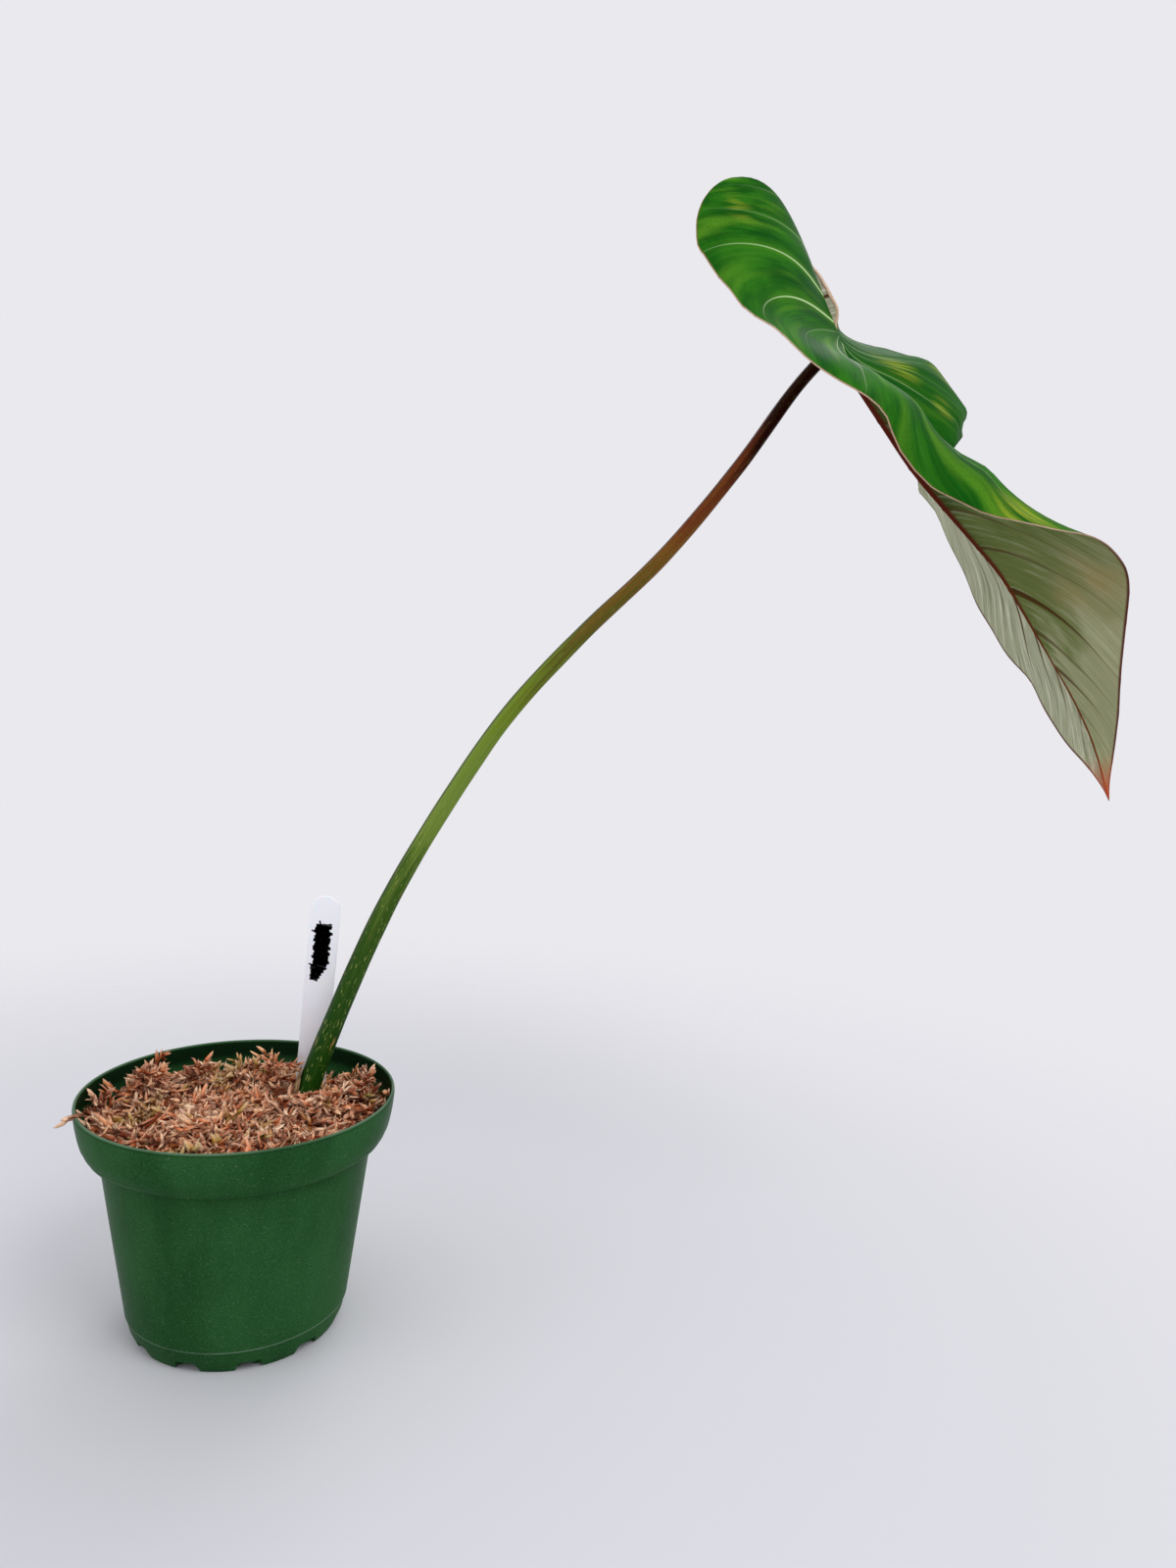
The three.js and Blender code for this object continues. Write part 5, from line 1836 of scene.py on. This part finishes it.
@dataclass(frozen=True)
class MossBedFinish:
    """The mass below the strands: dark brown as painted shade in the gaps between them, with tan lumps,
    darker towards the bottom.
    """

    tan: Colour = srgb(120, 60, 32)
    # Painted shade: the colour that shows in the gaps between the strands.
    dark: Colour = srgb(48, 20, 10)
    green: Colour = srgb(104, 98, 50)

    def build(self) -> Material:
        """Make the material.

        Returns:
            The material.
        """
        tree = ShaderTree("moss_mass", self.dark)
        place = tree.place()
        lumps = tree.noise(place, 260.0, 5.0, 0.65)
        tree.lay(tree.rise(lumps, 0.35, 0.6), self.tan)
        tree.lay(tree.rise(tree.noise(place, 38.0), 0.55, 0.7, 0.0, 0.45), self.green)
        # Darker towards the bottom.
        tree.lay(tree.rise(tree.axes()[2], 0.07, 0.09, 1.0, 0.0), self.dark)
        return tree.finish(Roughness=0.9, Normal=tree.bump(lumps, 1.0, 0.002))


@dataclass(frozen=True)
class StemFinish:
    """The creeping stem: green-brown with pale rings."""

    green: Colour = srgb(104, 104, 56)
    brown: Colour = srgb(96, 70, 44)

    def build(self) -> Material:
        """Make the material.

        Returns:
            The material.
        """
        tree = ShaderTree("creeping_stem", self.brown)
        bark = tree.noise(tree.scaled(tree.place(), (1.0, 3.0, 3.0)), 220.0, 4.0, 0.6)
        tree.lay(tree.rise(bark, 0.35, 0.65), self.green)
        return tree.finish(Roughness=0.6, Normal=tree.bump(bark, 0.6, 0.0006))


@dataclass
class MossBed:
    """The moss: a lumpy mass and thousands of strands on it. Sizes are in millimetres."""

    mean_height: float = 104
    lowest: float = 101
    wall_gap: float = 0.5
    sprig: MossSprig = field(default_factory=MossSprig)
    heaps: tuple[tuple[float, float, float, float], ...] = (
        (-52, 20, 15, 8), (-31, 36, 9, 8), (-12, 42, 9, 8), (8, 30, 7, 7),
        (55, 22, 15, 6), (42, 2, 9, 8), (-64, -8, 7, 6), (-10, -45, 5, 24),
    )
    tufts: tuple[tuple[float, float, float, float, int], ...] = (
        (-66, -4, 14, 4, 4), (-50, 18, 11, 5, 11), (-31, 36, 8, 6, 7), (-12, 42, 8, 5, 6),
        (6, 33, 15, 7, 6), (55, 22, 11, 4, 11), (43, 2, 9, 6, 8), (66, 10, 14, 3, 2),
    )
    rim_strand: tuple[Point, ...] = ((-48, -36, 104), (-54, -41, 116), (-59, -45.5, 120), (-63, -49.5, 119))
    pot: NurseryPot = field(default_factory=NurseryPot)
    stalk_foot: tuple[Point, Point] = ((24.5, 26, 98), (37, 29, 135.5))
    stalk_room: float = 7.0
    bed_levels: tuple[float, ...] = (99.0, 96.4, 93.0, 50.0, 12.4, 7.4)
    rim_top: float = 118
    mass_depth: float = 2.0
    mass_lowest: float = 99.4
    inner_rows: int = 11
    kinds: int = 12
    quick_share: float = 0.3
    sheet_step: float = 2.0
    sheet_radius: float = 70.5
    tuft_seed: int = 5
    tuft_spread: float = 3.4

    def height(self, x: Array, y: Array) -> Array:
        """Height of the moss at places in the pot.

        Args:
            x: Across.
            y: Away from the camera's side.

        Returns:
            The height above the table.
        """
        rough = np.sin(0.52 * x + 0.31 * y + 1) + np.sin(0.61 * y - 0.23 * x)
        rough = rough + np.sin(0.37 * x - 0.83 * y + 2)
        level = self.mean_height - 0.05 * y - 0.1 * np.maximum(y - 25, 0) + 1.5 * rough
        level = level - 6 * smoothstep(46, 68, np.hypot(x, y)) * smoothstep(-45, -10, y)
        for centre_x, centre_y, rise, spread in self.heaps:
            level = level + rise * np.exp(-((x - centre_x) ** 2 + (y - centre_y) ** 2) / spread**2)
        return np.maximum(level, self.lowest)

    def wall(self, z: Array) -> Array:
        """Inner radius of the pot at a height, less a small gap."""
        inner = np.array(self.pot.profile[-self.inner_rows :])[::-1]
        return np.interp(z, inner[:, 1], inner[:, 0]) - self.wall_gap

    def mass(self) -> Patch:
        """Make the lumpy mass as a closed body that fills the pot below the strands.

        Returns:
            The mass.
        """
        rings, sectors = ((46, 200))
        angles = np.linspace(0, TURN, sectors, endpoint=False)
        radius = np.linspace(0, 1, rings + 1)[1:, None] * self.wall(np.full(sectors, self.mean_height - 1.5))
        x = radius * np.cos(angles)
        y = radius * np.sin(angles)
        lumps = 0.7 * np.sin(1.7 * x + 0.9 * y) + 0.6 * np.sin(2.3 * y - 1.1 * x + 2)
        lumps = lumps + 0.5 * np.sin(3.1 * x - 2.7 * y)
        z = np.clip(self.height(x, y) - self.mass_depth + lumps, self.mass_lowest, self.rim_top)
        points = [np.stack([x, y, z], -1).reshape(-1, 3)]
        for level in self.bed_levels:
            reach = self.wall(np.full(sectors, level)) - (1.0 if level < 8 else 0.0)
            ring = [reach * np.cos(angles), reach * np.sin(angles), np.full(sectors, level)]
            points.append(np.stack(ring, -1))
        summit = float(self.height(np.zeros(1), np.zeros(1))[0]) - self.mass_depth
        points.append(np.array([(0.0, 0.0, summit), (0.0, 0.0, self.bed_levels[-1])]))
        return Patch(np.vstack(points), fanned_faces(rings + len(self.bed_levels), sectors, flipped=True))

    def strand_kind(self, rng: Chance, layer: Layer, number: int) -> Piece:
        """Make one kind of strand, lying along X about the origin.

        Args:
            rng: Source of chance.
            layer: Which layer it is for.
            number: Number of the kind.

        Returns:
            The strand's object.
        """
        sizes = layer.value
        length = rng.uniform(sizes.shortest, sizes.longest)
        share = np.linspace(0, 1, sizes.steps)
        bend = rng.uniform(-2.2, 2.2) * share
        lift = rng.uniform(-0.15, 0.25) + rng.uniform(-0.5, 0.3) * share
        curl = rng.uniform(0.2, 0.7) * np.sin(share * rng.uniform(4, 9) + rng.uniform(0, 6))
        turn = bend + curl
        heading = np.stack([np.cos(turn) * np.cos(lift), np.sin(turn) * np.cos(lift), np.sin(lift)], -1)
        path = np.cumsum(heading, axis=0) * length / sizes.steps
        path = path - path.mean(axis=0)
        return self.sprig.along(path, sizes.scales, rng).build(f"strand_{sizes.name}_{number}")

    def scatter(self, layer: Layer, material: Material) -> Piece:
        """Lay strands over the mass with a geometry node tree.

        Args:
            layer: Which layer.
            material: Their material.

        Returns:
            The strands as one piece.
        """
        sizes = layer.value
        rng = np.random.default_rng(sizes.seed)
        kinds = bpy.data.collections.new(f"strands_{sizes.name}")
        for number in range(self.kinds):
            kind = self.strand_kind(rng, layer, number)
            bpy.context.scene.collection.objects.unlink(kind)
            kinds.objects.link(kind)
        carrier = self.carrier().build(f"ground_{sizes.name}")
        tree = GeometryTree(f"moss_{sizes.name}")
        amount = tree.size("Density")
        chance = tree.size("Seed", "NodeSocketInt")
        tilt = tree.size("Tilt")
        smallest = tree.size("Smallest")
        largest = tree.size("Largest")
        inputs = {"Mesh": tree.entry.outputs["Geometry"], "Density": amount, "Seed": chance}
        scattered = tree.add("GeometryNodeDistributePointsOnFaces", inputs, distribute_method="RANDOM")
        source = tree.add("GeometryNodeCollectionInfo", {"Collection": kinds, "Separate Children": True})
        down = tree.maths("MULTIPLY", tilt, -1.0)
        inputs = {"Min": tree.vector(down, down, 0.0), "Max": tree.vector(tilt, tilt, TURN), "Seed": chance}
        turn = tree.add("FunctionNodeRandomValue", inputs, data_type="FLOAT_VECTOR")
        inputs = {
            "Points": scattered.outputs["Points"],
            "Instance": source.outputs[0],
            "Pick Instance": True,
            "Rotation": turn.outputs[0],
            "Scale": tree.chance(smallest, largest, chance),
        }
        placed = tree.add("GeometryNodeInstanceOnPoints", inputs)
        inputs = {"Geometry": placed.outputs[0], "Name": "tint", "Value": tree.chance(0.0, 1.0, 7)}
        marked = tree.add("GeometryNodeStoreNamedAttribute", inputs, data_type="FLOAT", domain="INSTANCE")
        tree.finish(marked.outputs[0], material)
        values = {
            "Density": sizes.density * 1.0,
            "Seed": sizes.seed,
            "Tilt": sizes.tilt,
            "Smallest": sizes.smallest,
            "Largest": sizes.largest,
        }
        piece = tree.bake(carrier, values, f"moss_{sizes.name}")
        for kind in list(kinds.objects):
            bpy.data.objects.remove(kind)
        bpy.data.collections.remove(kinds)
        flat = np.empty(len(piece.data.vertices) * 3, np.float32)
        piece.data.vertices.foreach_get("co", flat)
        points = self.kept_inside(flat.reshape(-1, 3).astype(float) / MM)
        piece.data.vertices.foreach_set("co", (points * MM).astype(np.float32).ravel())
        piece.data.shade_smooth()
        return declare(piece, "moss")

    def carrier(self) -> Patch:
        """Make the open sheet over the mass on which the strands are scattered.

        Returns:
            The sheet.
        """
        step = self.sheet_step
        cells = math.ceil(self.sheet_radius / step)
        spots = np.arange(-cells, cells + 1) * step
        x, y = np.meshgrid(spots, spots, indexing="ij")
        wide = len(spots)
        faces = []
        for i in range(wide - 1):
            for k in range(wide - 1):
                if math.hypot(x[i, k] + step / 2, y[i, k] + step / 2) < self.sheet_radius:
                    a = i * wide + k
                    faces.append((a, a + wide, a + wide + 1, a + 1))
        return Patch(np.stack([x, y, self.height(x, y) - 0.6], -1).reshape(-1, 3), faces)

    def kept_inside(self, points: Array) -> Array:
        """Push strands off the pot's wall and the stalk.

        Args:
            points: The strands' points.

        Returns:
            The same points, moved where they lay too far out or in the stalk.
        """
        points = points.copy()
        radius = np.hypot(points[:, 0], points[:, 1])
        wall = self.wall(94 + np.maximum(points[:, 2] - 101, 0) * 3) - 0.3
        outside = (radius > wall) & (points[:, 2] < self.rim_top)
        share = np.where(outside, wall / np.maximum(radius, 1e-6), 1.0)
        points[:, :2] *= share[:, None]
        low, high = np.array(self.stalk_foot)
        along = (points[:, 2] - low[2]) / (high[2] - low[2])
        axis = low[:2] + along[:, None] * (high[:2] - low[:2])
        away = points[:, :2] - axis
        gap = np.linalg.norm(away, axis=1)
        close = gap < self.stalk_room
        points[close, :2] = (axis + away / np.maximum(gap, 0.1)[:, None] * self.stalk_room)[close]
        return points

    def standing_strands(self) -> Patch:
        """Make the strands that stand up at the tufts, and the one that lies over the rim.

        Returns:
            The strands as one mesh, each with its tint.
        """
        rng = np.random.default_rng(self.tuft_seed)
        paths: list[Array] = [path_through(self.rim_strand, 12)]
        for x, y, height, lean, count in self.tufts:
            for _ in range(count * 2):
                spot = np.array([x + rng.normal(0, self.tuft_spread), y + rng.normal(0, self.tuft_spread)])
                base = float(self.height(spot[:1], spot[1:])[0]) - 2
                turn = rng.uniform(0, TURN)
                reach = lean * rng.uniform(0.4, 1.5)
                rise = height * rng.uniform(0.3, 1.0)
                end = rise * rng.uniform(0.5, 1.05)
                swings = ((0.0, 0.0, 0.0), (0.3, 0.0, 0.7 * rise), (1.0, 0.6, rise), (1.4, 1.5, end))
                knots = []
                for share, angle, lift in swings:
                    way = np.array([math.cos(turn + angle), math.sin(turn + angle)])
                    knots.append((*(spot + share * reach * way), base + lift))
                paths.append(path_through(knots, 9))
        sprigs = []
        for path in paths:
            sprig = self.sprig.along(path, max(4, int(walked(path)[-1] * 0.55)), rng)
            sprig.values["tint"] = np.full(len(sprig.points), rng.uniform(0.0, 1.0))
            if sprigs:
                sprig.points = self.kept_inside(sprig.points)
            sprigs.append(sprig)
        return reduce(Patch.joined, sprigs)

    def build(self) -> None:
        """Make the mass, its strands and its tufts, and dress the stem below them."""
        material = MossFinish().build()
        declare(self.mass().build("moss_mass", [MossBedFinish().build()]), "moss", "moss_bed")
        for layer in Layer:
            self.scatter(layer, material)
        declare(self.standing_strands().build("moss_tufts", [material]), "moss")
        stem = frame["nodes"]["rhizome"]
        finish = StemFinish().build()
        if stem.data.materials:
            for number in range(len(stem.data.materials)):
                stem.material_slots[number].material = finish
        else:
            stem.data.materials.append(finish)
        LOG.info("rhizome: keeps its CAD mesh with a new finish")


@dataclass
class Studio:
    """Floor, light and camera. Sizes are in metres."""

    focal_pixels: float = 1194
    image_height: float = 1600
    sensor: float = 36
    pitch: float = 6.30
    roll: float = 2.15
    stand: Point = (0.1674, -0.5604, 0.3383)
    floor_radius: float = 1.6
    fade: Span = (0.26, 0.85)
    aim: Point = (0.15, 0.03, 0.28)
    floor_colour: Colour = srgb(203, 204, 208)
    wall_colour: Colour = srgb(234, 233, 238)
    lights: tuple[tuple[str, Point, float, float], ...] = (
        ("key", (1.1, -1.0, 1.7), 1.2, 16),
        ("fill", (-1.5, -0.9, 1.0), 1.4, 5),
        ("back", (0.4, 1.6, 1.3), 1.2, 6),
    )

    def build_camera(self) -> None:
        """Set the camera where the photograph was taken from."""
        pitch = math.radians(self.pitch)
        roll = math.radians(self.roll)
        forward = Vector((0, math.cos(pitch), -math.sin(pitch)))
        upright = Vector((0, math.sin(pitch), math.cos(pitch)))
        level = Vector((1, 0, 0))
        right = level * math.cos(roll) + upright * math.sin(roll)
        up = upright * math.cos(roll) - level * math.sin(roll)
        data = bpy.data.cameras.new("camera")
        data.sensor_fit = "AUTO"
        data.sensor_width = self.sensor
        data.lens = self.focal_pixels * self.sensor / self.image_height
        data.clip_start = 0.01
        camera = added("camera", data)
        matrix = Matrix((right, up, -forward)).transposed().to_4x4()
        matrix.translation = self.stand
        camera.matrix_world = matrix
        bpy.context.scene.camera = camera

    def build_floor(self) -> None:
        """Make the pale floor, which fades out far from the pot."""
        mesh = bpy.data.meshes.new("floor")
        angles = np.linspace(0, TURN, 96, endpoint=False)
        points = [(self.floor_radius * math.cos(a), self.floor_radius * math.sin(a), -0.0002) for a in angles]
        mesh.from_pydata(points, [], [tuple(range(len(points)))])
        floor = added("floor", mesh)
        tree = ShaderTree("floor", self.floor_colour)
        x, y, _ = tree.axes()
        shown = tree.rise(tree.diagonal(x, y), *self.fade, 1.0, 0.0)
        mesh.materials.append(tree.finish(Roughness=0.7, Alpha=shown))

    def build_light(self, name: str, spot: Point, size: float, power: float) -> None:
        """Hang one soft light that points at the plant.

        Args:
            name: Its name.
            spot: Where it hangs.
            size: Its width.
            power: Its power in watts.
        """
        data = bpy.data.lights.new(name, "AREA")
        data.shape = "DISK"
        data.size = size
        data.energy = power
        light = added(name, data)
        aim = Vector(self.aim) - Vector(spot)
        light.rotation_euler = aim.to_track_quat("-Z", "Y").to_euler()
        light.location = spot

    def build(self) -> None:
        """Set up the camera, the floor and the light."""
        self.build_camera()
        self.build_floor()
        world = bpy.data.worlds.new("world")
        world.use_nodes = True
        background = world.node_tree.nodes["Background"]
        background.inputs["Color"].default_value = self.wall_colour
        background.inputs["Strength"].default_value = 1.0
        bpy.context.scene.world = world
        bpy.context.scene.view_settings.view_transform = "Standard"
        for light in self.lights:
            self.build_light(*light)


def main() -> None:
    """Build the plant piece by piece, then set it in the studio."""
    logging.basicConfig(level=logging.INFO, format="%(name)s: %(message)s")
    NurseryPot().build()
    MossBed().build()
    label = PlantLabel()
    label.build_label()
    label.build_ink()
    stalk = Stalk()
    stalk.build_stalk()
    stalk.build_sheath()
    LeafBlade().build()
    Studio().build()


if __name__ == "__main__":
    main()
